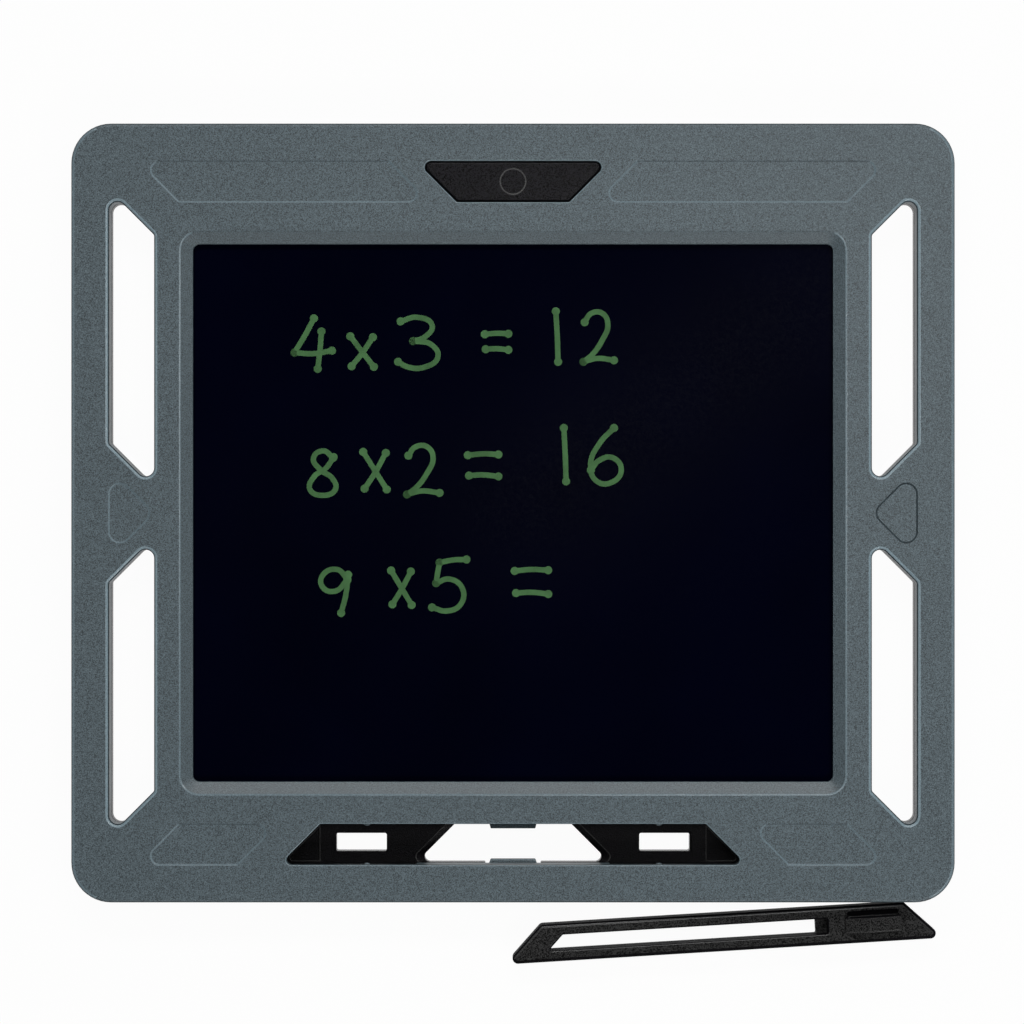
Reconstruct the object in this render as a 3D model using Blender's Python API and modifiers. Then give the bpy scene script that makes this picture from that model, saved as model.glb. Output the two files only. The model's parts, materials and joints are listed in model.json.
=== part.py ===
"""LCD writing tablet with its loose stylus, lying face up on a flat surface.

Units are metres and +Z is up, out of the writing side. +Y points to the top edge, where
the erase button is. The origin is the middle of the flat back. A grey front frame and a
black back cover close round the writing film, its backer plate, the erase switch and its
board, and a coin cell behind a door. The stylus lies below the bottom edge.
"""

import math

import bmesh
import bpy
from mathutils import Matrix, Vector

# Writing screen
SCREEN_WIDTH = 0.1655
SCREEN_HEIGHT = 0.1389
SCREEN_CORNER = 0.0017
BEZEL_SLOPE = 0.0033
BEZEL_DROP = 0.0014
FILM_MARGIN = 0.0040
FILM_THICKNESS = 0.0006
TAPE_THICKNESS = 0.0003
TAPE_SETBACK = 0.0006
BACKER_THICKNESS = 0.0015

# Ring of bands between the screen and the outer edge
EDGE_BORDER = 0.0098
END_BAND = 0.0105
END_GAP = 0.0109
SIDE_BAND = 0.0116
SIDE_GAP = 0.0100
CORNER_RADIUS = 0.0103
EDGE_ROUND = 0.0009

# Shells
PARTING_HEIGHT = 0.0048
SHELL_WALL = 0.0018
FACE_WALL = 0.0020
FLOOR_WALL = 0.0018
COLLAR_WALL = 0.0016
ISLAND_WALL = 0.0028
FILM_RIB = 0.0012
FLOOR_RIB = 0.0015
FLOOR_RIB_INSET = 0.0060
RIB_CELLS_X = 4
RIB_CELLS_Y = 3
CLEARANCE = 0.0003

# Hand slots, recessed panels and triangles
SLOT_BRIDGE = 0.0190
SLOT_ACUTE_RADIUS = 0.0022
SLOT_OBTUSE_RADIUS = 0.0010
PANEL_DEPTH = 0.0003
PANEL_RADIUS = 0.0023
PANEL_REACH = 0.0008
PANEL_BUTTON_GAP = 0.0071
PANEL_DOCK_GAP = 0.0109
TRIANGLE_RADIUS = 0.0028
SMALL_RADIUS = 0.0004
SHARP = 0.0

# Erase button and its switch
BUTTON_HALF = 0.0145
BUTTON_RADIUS = 0.0016
BUTTON_PROUD = 0.0003
BUTTON_SKIN = 0.0018
BUTTON_FLANGE = 0.0012
BUTTON_FLANGE_THICKNESS = 0.0008
BUTTON_TRAVEL = 0.0005
BUTTON_RING_RADIUS = 0.0033
BUTTON_RING_WIDTH = 0.0003
BUTTON_RING_DEPTH = 0.0002
POST_RADIUS = 0.0015
POST_LENGTH = 0.0007
POST_ROOT = 0.0006
PEG_RADIUS = 0.0009
PEG_SPREAD = 0.0110
SWITCH_SIZE = 0.0052
SWITCH_HEIGHT = 0.0012
SWITCH_FLOOR = 0.0002
SWITCH_FLOOR_GAP = 0.0001
PLUNGER_RADIUS = 0.0012
PLUNGER_RISE = 0.0005

# Circuit board and what is soldered to it
BOARD_LEFT = -0.0380
BOARD_SHEET = 0.0010
BOARD_MARGIN = 0.0025
BOARD_CORNER = 0.0010
CHIP_SIZE = 0.0050
CHIP_HEIGHT = 0.0009
INDUCTOR_SIZE = 0.0040
INDUCTOR_HEIGHT = 0.0014
CAPACITOR_LENGTH = 0.0020
CAPACITOR_WIDTH = 0.0012
CAPACITOR_HEIGHT = 0.0009
CAPACITOR_PITCH = 0.0026
FLEX_WIDTH = 0.0120
FLEX_THICKNESS = 0.0002
FLEX_ROOM = 0.0028
FLEX_INSET = 0.0085
CONNECTOR_DEPTH = 0.0026
CONNECTOR_HEIGHT = 0.0010
CONNECTOR_CHEEK = 0.0006

# Coin cell, contacts and door
CELL_X = 0.0360
CELL_RADIUS = 0.0100
CELL_THICKNESS = 0.0025
CELL_ROUND = 0.0003
CONTACT_THICKNESS = 0.0003
CONTACT_INSET = 0.0030
CONTACT_WIDTH = 0.0050
CLIP_THICKNESS = 0.0004
CLIP_SPAN = math.radians(100)
DOOR_THICKNESS = 0.0018
DOOR_MARGIN = 0.0016
DOOR_LUG = 0.0060
DOOR_CORNER = 0.0030
BAY_WALL = 0.0016
BAY_LEDGE = 0.0009

# Screws
CASE_HEAD_RADIUS = 0.0020
CASE_HEAD_HEIGHT = 0.0012
CASE_SHANK_RADIUS = 0.0010
CASE_SHANK_LENGTH = 0.0070
CASE_BOSS_WALL = 0.0012
CASE_CORNER_INSET = 0.0080
SMALL_HEAD_RADIUS = 0.0016
SMALL_HEAD_HEIGHT = 0.0008
SMALL_SHANK_RADIUS = 0.0008
BOARD_SHANK_LENGTH = 0.0040
DOOR_SHANK_LENGTH = 0.0032
SMALL_BOSS_WALL = 0.0011
HEAD_RECESS = 0.0002
DRIVE_WIDTH = 0.0005
DRIVE_DEPTH = 0.0004
DRIVE_REACH = 0.6
DRIVE_TAPER = 0.7

# Stylus dock
DOCK_HALF = 0.0498
DOCK_RADIUS = 0.0013
WINDOW_HALF = 0.0146
WINDOW_RADIUS = 0.0015
WINDOW_CHAMFER = 0.0015
WINDOW_CHAMFER_DEPTH = 0.0010
HOLE_X = 0.0394
HOLE_LENGTH = 0.0131
HOLE_HEIGHT = 0.0047
HOLE_RADIUS = 0.0005
HOLE_CHAMFER = 0.0006
RELIEF_DEPTH = 0.0006
RELIEF_INSET = 0.0005
NUB_X = 0.0377
NUB_RADIUS = 0.0012
NUB_REACH = 0.0003
NUB_SETBACK = 0.0003
TRAY_WALL = 0.0016
TAB_HALF = 0.0062
TAB_REACH = 0.0009
TAB_THICKNESS = 0.0018
TAB_NOTCH = 0.0033
TAB_ROOT_INSET = 0.0003

# Stylus
STYLUS_SIDE_GAP = 0.00035
STYLUS_END_GAP = 0.0032
STYLUS_TIP_RADIUS = 0.0014
STYLUS_SHOULDER_RADIUS = 0.0014
STYLUS_ROUND = 0.0009
STYLUS_TURN = math.radians(3.5)
STYLUS_REST_X = 0.0547
STYLUS_REST_GAP = 0.0006
STYLUS_WINDOW_HEIGHT = 0.0039
STYLUS_WINDOW_START = 0.0115
STYLUS_WINDOW_END = 0.0242
STYLUS_POCKET_LENGTH = 0.0029
STYLUS_POCKET_DEPTH = 0.0030
PLUG_HEIGHT = 0.0024
PLUG_END_HEIGHT = 0.0016
PLUG_RIDGE = 0.43

# Faceting of round stretches, and how far a cutter runs past what it cuts
ARC_STEP = math.radians(22.5)
CIRCLE_STEPS = 12
CELL_STEPS = 32
FLEX_STEPS = 10
CREASE_ANGLE = math.radians(40)
OVERRUN = 0.0010
WELD = 1e-6

# Sizes that follow from the ones above
SLOT_IN = SCREEN_WIDTH / 2 + SIDE_GAP
SLOT_OUT = SLOT_IN + SIDE_BAND
BAND_IN = SCREEN_HEIGHT / 2 + END_GAP
BAND_OUT = BAND_IN + END_BAND
BAND_MIDDLE = (BAND_IN + BAND_OUT) / 2
HALF_WIDTH = SLOT_OUT + EDGE_BORDER
HALF_HEIGHT = BAND_OUT + EDGE_BORDER
FILM_HALF_WIDTH = SCREEN_WIDTH / 2 + FILM_MARGIN
FILM_HALF_HEIGHT = SCREEN_HEIGHT / 2 + FILM_MARGIN
ACUTE_REACH = 1 / math.tan(math.radians(22.5)) - 1

LEDGE_LOW = DOOR_THICKNESS + CLEARANCE
BAY_HIGH = LEDGE_LOW + BAY_LEDGE
CELL_LOW = LEDGE_LOW
CONTACT_LOW = CELL_LOW + CELL_THICKNESS + CLEARANCE
BOARD_LOW = CONTACT_LOW + CONTACT_THICKNESS + CLEARANCE
BOARD_HIGH = BOARD_LOW + BOARD_SHEET
SOLDER_HIGH = BOARD_HIGH + CLEARANCE
SWITCH_HIGH = SOLDER_HIGH + SWITCH_HEIGHT
PLUNGER_HIGH = SWITCH_HIGH + PLUNGER_RISE
POST_LOW = PLUNGER_HIGH + CLEARANCE
BUTTON_HOLLOW = POST_LOW + POST_LENGTH
BUTTON_HIGH = BUTTON_HOLLOW + BUTTON_SKIN
FACE_HEIGHT = BUTTON_HIGH - BUTTON_PROUD

FRONT_LOW = PARTING_HEIGHT + CLEARANCE
CEILING = FACE_HEIGHT - FACE_WALL
FLANGE_HIGH = CEILING - CLEARANCE
FLANGE_LOW = FLANGE_HIGH - BUTTON_FLANGE_THICKNESS
TAPE_HIGH = CEILING - CLEARANCE
FILM_HIGH = TAPE_HIGH - TAPE_THICKNESS - CLEARANCE
FILM_LOW = FILM_HIGH - FILM_THICKNESS
BACKER_HIGH = FILM_LOW - CLEARANCE
BACKER_LOW = BACKER_HIGH - BACKER_THICKNESS

BOARD_RIGHT = CELL_X + CELL_RADIUS + DOOR_MARGIN
BOARD_NEAR = FILM_HALF_HEIGHT + FLEX_ROOM
BOARD_FAR = HALF_HEIGHT - SHELL_WALL - BOARD_MARGIN
FLEX_X = BOARD_LEFT + FLEX_INSET
FLEX_END_HEIGHT = SOLDER_HIGH + CONNECTOR_HEIGHT / 2
DOOR_SCREW_X = CELL_X + CELL_RADIUS + DOOR_LUG / 2
CASE_BOSS_RADIUS = CASE_SHANK_RADIUS + CLEARANCE + CASE_BOSS_WALL
SMALL_BOSS_RADIUS = SMALL_SHANK_RADIUS + CLEARANCE + SMALL_BOSS_WALL
DOCK_LONG_HALF = DOCK_HALF + END_BAND
STYLUS_WIDTH = END_BAND - 2 * STYLUS_SIDE_GAP
STYLUS_THICKNESS = FACE_HEIGHT - PARTING_HEIGHT - CLEARANCE
STYLUS_LONG_HALF = DOCK_LONG_HALF - STYLUS_END_GAP
STYLUS_SHORT_HALF = STYLUS_LONG_HALF - STYLUS_WIDTH

# Turns an outline so that its first axis runs along Y, its second along Z and its depth along X
UPRIGHT = Matrix(((0, 0, 1, 0), (1, 0, 0, 0), (0, 1, 0, 0), (0, 0, 0, 1)))

COLOURS = {
    "grey_shell": ((0.095, 0.122, 0.132), 0.55, 0.0),
    "black_shell": ((0.014, 0.014, 0.016), 0.50, 0.0),
    "film": ((0.001, 0.001, 0.006), 0.30, 0.0),
    "tape": ((0.60, 0.58, 0.52), 0.70, 0.0),
    "backer": ((0.32, 0.33, 0.34), 0.60, 0.0),
    "board_green": ((0.02, 0.13, 0.05), 0.40, 0.0),
    "switch_black": ((0.02, 0.02, 0.02), 0.45, 0.0),
    "plunger_white": ((0.75, 0.75, 0.72), 0.45, 0.0),
    "chip_black": ((0.015, 0.015, 0.016), 0.55, 0.0),
    "ferrite": ((0.09, 0.09, 0.10), 0.70, 0.0),
    "ceramic": ((0.45, 0.33, 0.20), 0.50, 0.0),
    "flex_amber": ((0.42, 0.18, 0.03), 0.35, 0.0),
    "connector_ivory": ((0.72, 0.69, 0.60), 0.50, 0.0),
    "steel": ((0.60, 0.61, 0.63), 0.28, 1.0),
    "screw_steel": ((0.34, 0.34, 0.35), 0.35, 1.0),
}


def corner_mirror(corners, side_x, side_y):
    """Corners (x, y, radius) mirrored by the two signs, still running anticlockwise."""
    mirrored = [(x * side_x, y * side_y, radius) for x, y, radius in corners]
    return mirrored if side_x * side_y > 0 else mirrored[::-1]


def rounded(corners, grow=0.0):
    """Outline through anticlockwise corners (x, y, radius), rounded and grown outwards."""
    outline = []
    count = len(corners)
    for index, (x, y, radius) in enumerate(corners):
        before = Vector(corners[index - 1][:2])
        here = Vector((x, y))
        after = Vector(corners[(index + 1) % count][:2])
        way_in = (here - before).normalized()
        way_out = (after - here).normalized()
        normal_in = Vector((way_in.y, -way_in.x))
        normal_out = Vector((way_out.y, -way_out.x))
        vertex = here + (normal_in + normal_out) * (grow / (1 + normal_in.dot(normal_out)))
        if radius == SHARP:
            outline.append((vertex.x, vertex.y))
            continue
        turn = math.atan2(way_in.cross(way_out), way_in.dot(way_out))
        bend = max(radius + grow * math.copysign(1, turn), SMALL_RADIUS)
        tangent = bend * math.tan(abs(turn) / 2)
        centre = vertex - way_in * tangent - normal_in * math.copysign(bend, turn)
        steps = max(1, math.ceil(abs(turn) / ARC_STEP))
        spoke = vertex - way_in * tangent - centre
        for step in range(steps + 1):
            angle = turn * step / steps
            outline.append((
                centre.x + spoke.x * math.cos(angle) - spoke.y * math.sin(angle),
                centre.y + spoke.x * math.sin(angle) + spoke.y * math.cos(angle),
            ))
    return outline


def circle(x, y, radius, steps=CIRCLE_STEPS):
    """Round outline about a point."""
    angles = [2 * math.pi * step / steps for step in range(steps)]
    return [(x + radius * math.cos(angle), y + radius * math.sin(angle)) for angle in angles]


def rectangle(left, right, near, far, radius):
    """Corners of an upright rectangle."""
    return [(left, near, radius), (right, near, radius), (right, far, radius), (left, far, radius)]


def board_corners():
    """Outer outline of the tablet."""
    return rectangle(-HALF_WIDTH, HALF_WIDTH, -HALF_HEIGHT, HALF_HEIGHT, CORNER_RADIUS)


def screen_corners():
    """Visible part of the writing film."""
    half_width = SCREEN_WIDTH / 2
    half_height = SCREEN_HEIGHT / 2
    return rectangle(-half_width, half_width, -half_height, half_height, SCREEN_CORNER)


def film_corners():
    """Whole film, with the margin that the bezel hides."""
    return rectangle(-FILM_HALF_WIDTH, FILM_HALF_WIDTH, -FILM_HALF_HEIGHT, FILM_HALF_HEIGHT, SCREEN_CORNER)


def slot_corners(side_x, side_y):
    """One hand slot: a leaning slot with pointed, rounded ends on opposite sides."""
    high = BAND_IN + ACUTE_REACH * SLOT_ACUTE_RADIUS
    low = SLOT_BRIDGE / 2 - ACUTE_REACH * SLOT_ACUTE_RADIUS
    corners = [
        (SLOT_IN, low, SLOT_ACUTE_RADIUS),
        (SLOT_OUT, low + SIDE_BAND, SLOT_OBTUSE_RADIUS),
        (SLOT_OUT, high, SLOT_ACUTE_RADIUS),
        (SLOT_IN, high - SIDE_BAND, SLOT_OBTUSE_RADIUS),
    ]
    return corner_mirror(corners, side_x, side_y)


def trapezoid(half, acute_radius, side_y):
    """Band-high trapezoid with 45 degree ends: half is its short side's half length."""
    if side_y > 0:
        long_y, short_y = BAND_OUT, BAND_IN
    else:
        long_y, short_y = -BAND_OUT, -BAND_IN
    corners = [
        (half, short_y, SHARP),
        (half + END_BAND, long_y, acute_radius),
        (-half - END_BAND, long_y, acute_radius),
        (-half, short_y, SHARP),
    ]
    return corners if side_y > 0 else corners[::-1]


def panel_corners(side_x, side_y):
    """Slanted panel beside the button (top) or beside the dock (bottom)."""
    outer = SLOT_IN + PANEL_REACH + ACUTE_REACH * PANEL_RADIUS
    if side_y > 0:
        inner_out = BUTTON_HALF + END_BAND + PANEL_BUTTON_GAP
        inner_in = inner_out - END_BAND
    else:
        inner_in = DOCK_HALF + PANEL_DOCK_GAP
        inner_out = inner_in + END_BAND
    corners = [
        (inner_in, BAND_IN, PANEL_RADIUS),
        (outer - END_BAND, BAND_IN, SHARP),
        (outer, BAND_OUT, PANEL_RADIUS),
        (inner_out, BAND_OUT, SHARP),
    ]
    return corner_mirror(corners, side_x, side_y)


def triangle_corners(side_x):
    """Triangle between the two slots of a side, pointing at the screen."""
    corners = [
        (SLOT_IN, 0.0, TRIANGLE_RADIUS),
        (SLOT_OUT, -SIDE_BAND, TRIANGLE_RADIUS),
        (SLOT_OUT, SIDE_BAND, TRIANGLE_RADIUS),
    ]
    return corner_mirror(corners, side_x, 1)


def all_sides():
    """The four quadrants, as pairs of signs."""
    return [(side_x, side_y) for side_x in (-1, 1) for side_y in (-1, 1)]


def case_screw_points():
    """Where the two shells are screwed together."""
    corner_x = HALF_WIDTH - CASE_CORNER_INSET
    corner_y = HALF_HEIGHT - CASE_CORNER_INSET
    top_x = (BOARD_RIGHT + corner_x) / 2
    dock_x = DOCK_LONG_HALF + PANEL_DOCK_GAP
    points = [(side_x * corner_x, side_y * corner_y) for side_x, side_y in all_sides()]
    for side_x in (-1, 1):
        points.append((side_x * (SLOT_IN + SLOT_OUT) / 2, 0.0))
        points.append((side_x * top_x, corner_y))
        points.append((side_x * dock_x, -BAND_MIDDLE))
    return points


def board_screw_points():
    """Where the circuit board is screwed to the back cover."""
    inset = SMALL_HEAD_RADIUS + CLEARANCE
    far = BOARD_FAR - inset
    near = BOARD_NEAR + inset
    beside_cell = CELL_X - CELL_RADIUS - DOOR_MARGIN - SMALL_BOSS_RADIUS
    return [(BOARD_LEFT + inset, far), (beside_cell, far), (beside_cell, near)]


def make_collection(name):
    """New collection under the scene."""
    collection = bpy.data.collections.new(name)
    bpy.context.scene.collection.children.link(collection)
    return collection


def make_materials():
    """One Principled material for each finish."""
    for name, (colour, roughness, metallic) in COLOURS.items():
        material = bpy.data.materials.new(name)
        material.use_nodes = True
        shader = material.node_tree.nodes["Principled BSDF"]
        shader.inputs["Base Color"].default_value = (*colour, 1.0)
        shader.inputs["Roughness"].default_value = roughness
        shader.inputs["Metallic"].default_value = metallic


def mesh_object(name, mesh, matrix=None):
    """Object for a mesh, placed by a matrix and not yet in a collection of its own."""
    item = bpy.data.objects.new(name, mesh)
    item.matrix_world = matrix if matrix else Matrix.Identity(4)
    bpy.context.scene.collection.objects.link(item)
    return item


def extrude(name, outline, low, high, holes=(), rim=0.0, frame=None):
    """Flat outline with holes, from low to high, with both rims rounded by rim.

    frame turns the outline out of the XY plane: low and high then run along its third axis.
    """
    data = bpy.data.curves.new(name + "_outline", "CURVE")
    data.dimensions = "2D"
    data.fill_mode = "BOTH"
    data.extrude = (high - low) / 2 - rim
    data.bevel_depth = rim
    data.bevel_resolution = 1
    data.offset = -rim
    for points in [outline] + [hole[::-1] for hole in holes]:
        spline = data.splines.new("POLY")
        spline.points.add(len(points) - 1)
        for target, (x, y) in zip(spline.points, points):
            target.co = (x, y, 0.0, 1.0)
        spline.use_cyclic_u = True
    curve = bpy.data.objects.new(name + "_outline", data)
    curve.matrix_world = (frame or Matrix.Identity(4)) @ Matrix.Translation((0, 0, (low + high) / 2))
    bpy.context.scene.collection.objects.link(curve)
    graph = bpy.context.evaluated_depsgraph_get()
    mesh = bpy.data.meshes.new_from_object(curve.evaluated_get(graph))
    welded = bmesh.new()
    welded.from_mesh(mesh)
    bmesh.ops.remove_doubles(welded, verts=welded.verts, dist=WELD)
    bmesh.ops.dissolve_degenerate(welded, edges=welded.edges, dist=WELD)
    bmesh.ops.recalc_face_normals(welded, faces=welded.faces)
    welded.to_mesh(mesh)
    welded.free()
    item = mesh_object(name, mesh, curve.matrix_world)
    bpy.data.objects.remove(curve)
    return item


def loft(name, sections):
    """Solid through like outlines, given as (outline, height) from the bottom up."""
    shape = bmesh.new()
    loops = []
    for outline, height in sections:
        ring = [shape.verts.new((x, y, height)) for x, y in outline]
        loops.append([shape.edges.new((ring[step - 1], ring[step])) for step in range(len(ring))])
    for lower, upper in zip(loops, loops[1:]):
        bmesh.ops.bridge_loops(shape, edges=lower + upper)
    for end in (loops[0], loops[-1]):
        bmesh.ops.edgeloop_fill(shape, edges=end)
    bmesh.ops.recalc_face_normals(shape, faces=shape.faces)
    mesh = bpy.data.meshes.new(name)
    shape.to_mesh(mesh)
    shape.free()
    return mesh_object(name, mesh)


def flared(name, corners, low, high, chamfer, drop):
    """Cutter that is straight from low, then widens by chamfer over drop up to high."""
    overrun = 1 + OVERRUN / drop
    return loft(name, [
        (rounded(corners), low),
        (rounded(corners), high - drop),
        (rounded(corners, chamfer * overrun), high + OVERRUN),
    ])


def block(name, centre, size):
    """Upright box about a centre."""
    shape = bmesh.new()
    bmesh.ops.create_cube(shape, size=1.0)
    bmesh.ops.scale(shape, vec=size, verts=shape.verts)
    bmesh.ops.translate(shape, vec=centre, verts=shape.verts)
    mesh = bpy.data.meshes.new(name)
    shape.to_mesh(mesh)
    shape.free()
    return mesh_object(name, mesh)


def plain_mesh(item):
    """Mesh of an object with its modifiers applied; the object goes."""
    graph = bpy.context.evaluated_depsgraph_get()
    mesh = bpy.data.meshes.new_from_object(item.evaluated_get(graph))
    bpy.data.objects.remove(item)
    return mesh


def turned(name, profile, steps=CIRCLE_STEPS):
    """Closed shape turned about Z from a profile of (radius, height), top to bottom."""
    shape = bmesh.new()
    points = [shape.verts.new((radius, 0.0, height)) for radius, height in profile]
    for upper, lower in zip(points, points[1:]):
        shape.edges.new((upper, lower))
    mesh = bpy.data.meshes.new(name)
    shape.to_mesh(mesh)
    shape.free()
    item = mesh_object(name, mesh)
    screw = item.modifiers.new("turn", "SCREW")
    screw.steps = steps
    screw.render_steps = steps
    screw.use_merge_vertices = True
    screw.merge_threshold = WELD
    return smooth(mesh_object(name, plain_mesh(item)))


def gather(name, items):
    """Several separate solids as one object."""
    shape = bmesh.new()
    for item in items:
        item.data.transform(item.matrix_world)
        shape.from_mesh(item.data)
        bpy.data.objects.remove(item)
    mesh = bpy.data.meshes.new(name)
    shape.to_mesh(mesh)
    shape.free()
    return mesh_object(name, mesh)


def smooth(item):
    """Shade a round piece smooth, with its real edges kept sharp."""
    item.data.shade_smooth()
    item.data.set_sharp_from_angle(angle=CREASE_ANGLE)
    return item


def combine(target, tool, operation="DIFFERENCE"):
    """Cut a tool from a target, or join it on, and put the tool away as a cutter."""
    modifier = target.modifiers.new(tool.name, "BOOLEAN")
    modifier.operation = operation
    modifier.solver = "EXACT"
    modifier.object = tool
    for collection in list(tool.users_collection):
        collection.objects.unlink(tool)
    bpy.data.collections["cutters"].objects.link(tool)
    tool.hide_render = True
    tool.display_type = "WIRE"


def part(item, finish, parent, origin=(0.0, 0.0, 0.0)):
    """Give a piece its material, collection and parent, and move its own origin."""
    mesh = item.data
    mesh.transform(Matrix.Translation(-Vector(origin)) @ item.matrix_world)
    item.matrix_world = Matrix.Identity(4)
    mesh.materials.clear()
    mesh.materials.append(bpy.data.materials[finish])
    for collection in list(item.users_collection):
        collection.objects.unlink(item)
    bpy.data.collections["lcd_writing_tablet"].objects.link(item)
    item.parent = parent
    item.location = origin
    for modifier in item.modifiers:
        modifier.object.parent = parent


def board_block(name):
    """Whole tablet as one block with rounded rims and its four slots."""
    slots = [rounded(slot_corners(*sides)) for sides in all_sides()]
    return extrude(name, rounded(board_corners()), 0.0, FACE_HEIGHT, slots, EDGE_ROUND)


def trim(name, low, high):
    """Cutter that takes away everything between two heights."""
    width = 2 * HALF_WIDTH + 2 * OVERRUN
    height = 2 * HALF_HEIGHT + 2 * OVERRUN
    return block(name, (0, 0, (low + high) / 2), (width, height, high - low))


def dock_outline(grow=0.0):
    """Whole stylus dock."""
    return rounded(trapezoid(DOCK_HALF, DOCK_RADIUS, -1), grow)


def collar_outline():
    """Middle stretch of the dock, over the window, where the front frame makes its walls."""
    return rounded(trapezoid(WINDOW_HALF, WINDOW_RADIUS, -1), COLLAR_WALL)


def tray_outline(side_x):
    """Wall round one well of the dock, open towards the front frame's collar."""
    slant = TRAY_WALL * math.sqrt(2)
    near_end = WINDOW_HALF + (COLLAR_WALL + 2 * CLEARANCE) * math.sqrt(2)
    far_end = WINDOW_HALF + END_BAND + 2 * CLEARANCE
    corners = [
        (near_end, BAND_IN - TRAY_WALL, SHARP),
        (DOCK_HALF + slant - TRAY_WALL, BAND_IN - TRAY_WALL, SHARP),
        (DOCK_LONG_HALF + slant + TRAY_WALL, BAND_OUT + TRAY_WALL, DOCK_RADIUS + TRAY_WALL),
        (far_end, BAND_OUT + TRAY_WALL, SHARP),
        (far_end, BAND_OUT, SHARP),
        (DOCK_LONG_HALF, BAND_OUT, DOCK_RADIUS),
        (DOCK_HALF, BAND_IN, SHARP),
        (near_end, BAND_IN, SHARP),
    ]
    return rounded(corner_mirror(corners, side_x, -1))


def shell_hollow(name, low, high, extra_holes):
    """Inside of a shell: all but its walls, the slot collars, the bosses and what else stands there."""
    standing = [rounded(slot_corners(*sides), COLLAR_WALL) for sides in all_sides()]
    standing += [circle(x, y, CASE_BOSS_RADIUS) for x, y in case_screw_points()]
    inside = rounded(board_corners(), -SHELL_WALL)
    return extrude(name, inside, low, high, standing + extra_holes)


def extrude_many(name, outlines, low, high):
    """Several separate outlines as one cutter."""
    return extrude(name, outlines[0], low, high, [outline[::-1] for outline in outlines[1:]])


def dock_tab(name, side_y):
    """Support tab low in the dock's window, hung on the front frame's dock wall."""
    inner = TAB_ROOT_INSET
    outer = COLLAR_WALL - TAB_ROOT_INSET
    low = PARTING_HEIGHT - TAB_THICKNESS
    wall_y = -BAND_IN if side_y > 0 else -BAND_OUT
    profile = [
        (outer, low),
        (outer, FRONT_LOW + COLLAR_WALL),
        (inner, FRONT_LOW + COLLAR_WALL),
        (inner, PARTING_HEIGHT),
        (-TAB_REACH, PARTING_HEIGHT),
        (-TAB_REACH, low),
    ]
    placed = [(wall_y + side_y * y, z) for y, z in profile]
    return extrude(name, placed, -TAB_HALF, TAB_HALF, frame=UPRIGHT)


def make_front_frame(parent):
    """Grey front shell: bezel, slots, panels, button opening and dock opening."""
    frame = board_block("front_frame")
    combine(frame, trim("frame_trim", -OVERRUN, FRONT_LOW))
    film_rib = [
        rounded(film_corners(), CLEARANCE + FILM_RIB),
        rounded(film_corners(), CLEARANCE)[::-1],
    ]
    standing = film_rib + [collar_outline()]
    combine(frame, shell_hollow("frame_hollow", FRONT_LOW - OVERRUN, CEILING, standing))
    bezel = flared("bezel_cut", screen_corners(), FRONT_LOW, FACE_HEIGHT, BEZEL_SLOPE, BEZEL_DROP)
    combine(frame, bezel)
    through = (FRONT_LOW - OVERRUN, FACE_HEIGHT + OVERRUN)
    combine(frame, extrude("dock_cut", dock_outline(), *through))
    button = rounded(trapezoid(BUTTON_HALF, BUTTON_RADIUS, 1))
    combine(frame, extrude("button_cut", button, *through))
    panels = [rounded(panel_corners(*sides)) for sides in all_sides()]
    panels += [rounded(triangle_corners(side_x)) for side_x in (-1, 1)]
    panel_low = FACE_HEIGHT - PANEL_DEPTH
    combine(frame, extrude_many("panel_cut", panels, panel_low, FACE_HEIGHT + OVERRUN))
    pilot_high = HEAD_RECESS + CASE_HEAD_HEIGHT + CASE_SHANK_LENGTH + CLEARANCE
    pilot_radius = CASE_SHANK_RADIUS + CLEARANCE
    pilots = [circle(x, y, pilot_radius) for x, y in case_screw_points()]
    combine(frame, extrude_many("frame_pilots", pilots, FRONT_LOW - OVERRUN, pilot_high))
    gate_far = FILM_HALF_HEIGHT + 2 * CLEARANCE + FILM_RIB
    gate_high = FILM_HIGH + CLEARANCE
    gate_centre = (FLEX_X, (FILM_HALF_HEIGHT + gate_far) / 2, (FRONT_LOW - OVERRUN + gate_high) / 2)
    gate_size = (
        FLEX_WIDTH + 2 * CLEARANCE,
        gate_far - FILM_HALF_HEIGHT,
        gate_high - FRONT_LOW + OVERRUN,
    )
    combine(frame, block("flex_gate", gate_centre, gate_size))
    nub_set = NUB_RADIUS - NUB_REACH
    nubs = [circle(side_x * NUB_X, -BAND_IN + nub_set, NUB_RADIUS) for side_x in (-1, 1)]
    nubs += [circle(side_x * NUB_X, -BAND_OUT - nub_set, NUB_RADIUS) for side_x in (-1, 1)]
    nub_levels = CEILING + NUB_SETBACK, FACE_HEIGHT - NUB_SETBACK
    combine(frame, extrude_many("detent_nubs", nubs, *nub_levels), "UNION")
    combine(frame, dock_tab("upper_tab", 1), "UNION")
    combine(frame, dock_tab("lower_tab", -1), "UNION")
    part(frame, "grey_shell", parent)


def floor_lattice():
    """Lattice of ribs on the floor that carries the backer plate."""
    reach_x = FILM_HALF_WIDTH - FLOOR_RIB_INSET
    reach_y = FILM_HALF_HEIGHT - FLOOR_RIB_INSET
    pitch_x = (2 * reach_x - FLOOR_RIB) / RIB_CELLS_X
    pitch_y = (2 * reach_y - FLOOR_RIB) / RIB_CELLS_Y
    cells = []
    for column in range(RIB_CELLS_X):
        left = -reach_x + FLOOR_RIB + column * pitch_x
        for row in range(RIB_CELLS_Y):
            near = -reach_y + FLOOR_RIB + row * pitch_y
            corners = rectangle(left, left + pitch_x - FLOOR_RIB, near, near + pitch_y - FLOOR_RIB, SHARP)
            cells.append(rounded(corners))
    outside = rounded(rectangle(-reach_x, reach_x, -reach_y, reach_y, SHARP))
    return extrude("floor_lattice", outside, FLOOR_WALL / 2, BACKER_LOW - CLEARANCE, cells)


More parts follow.
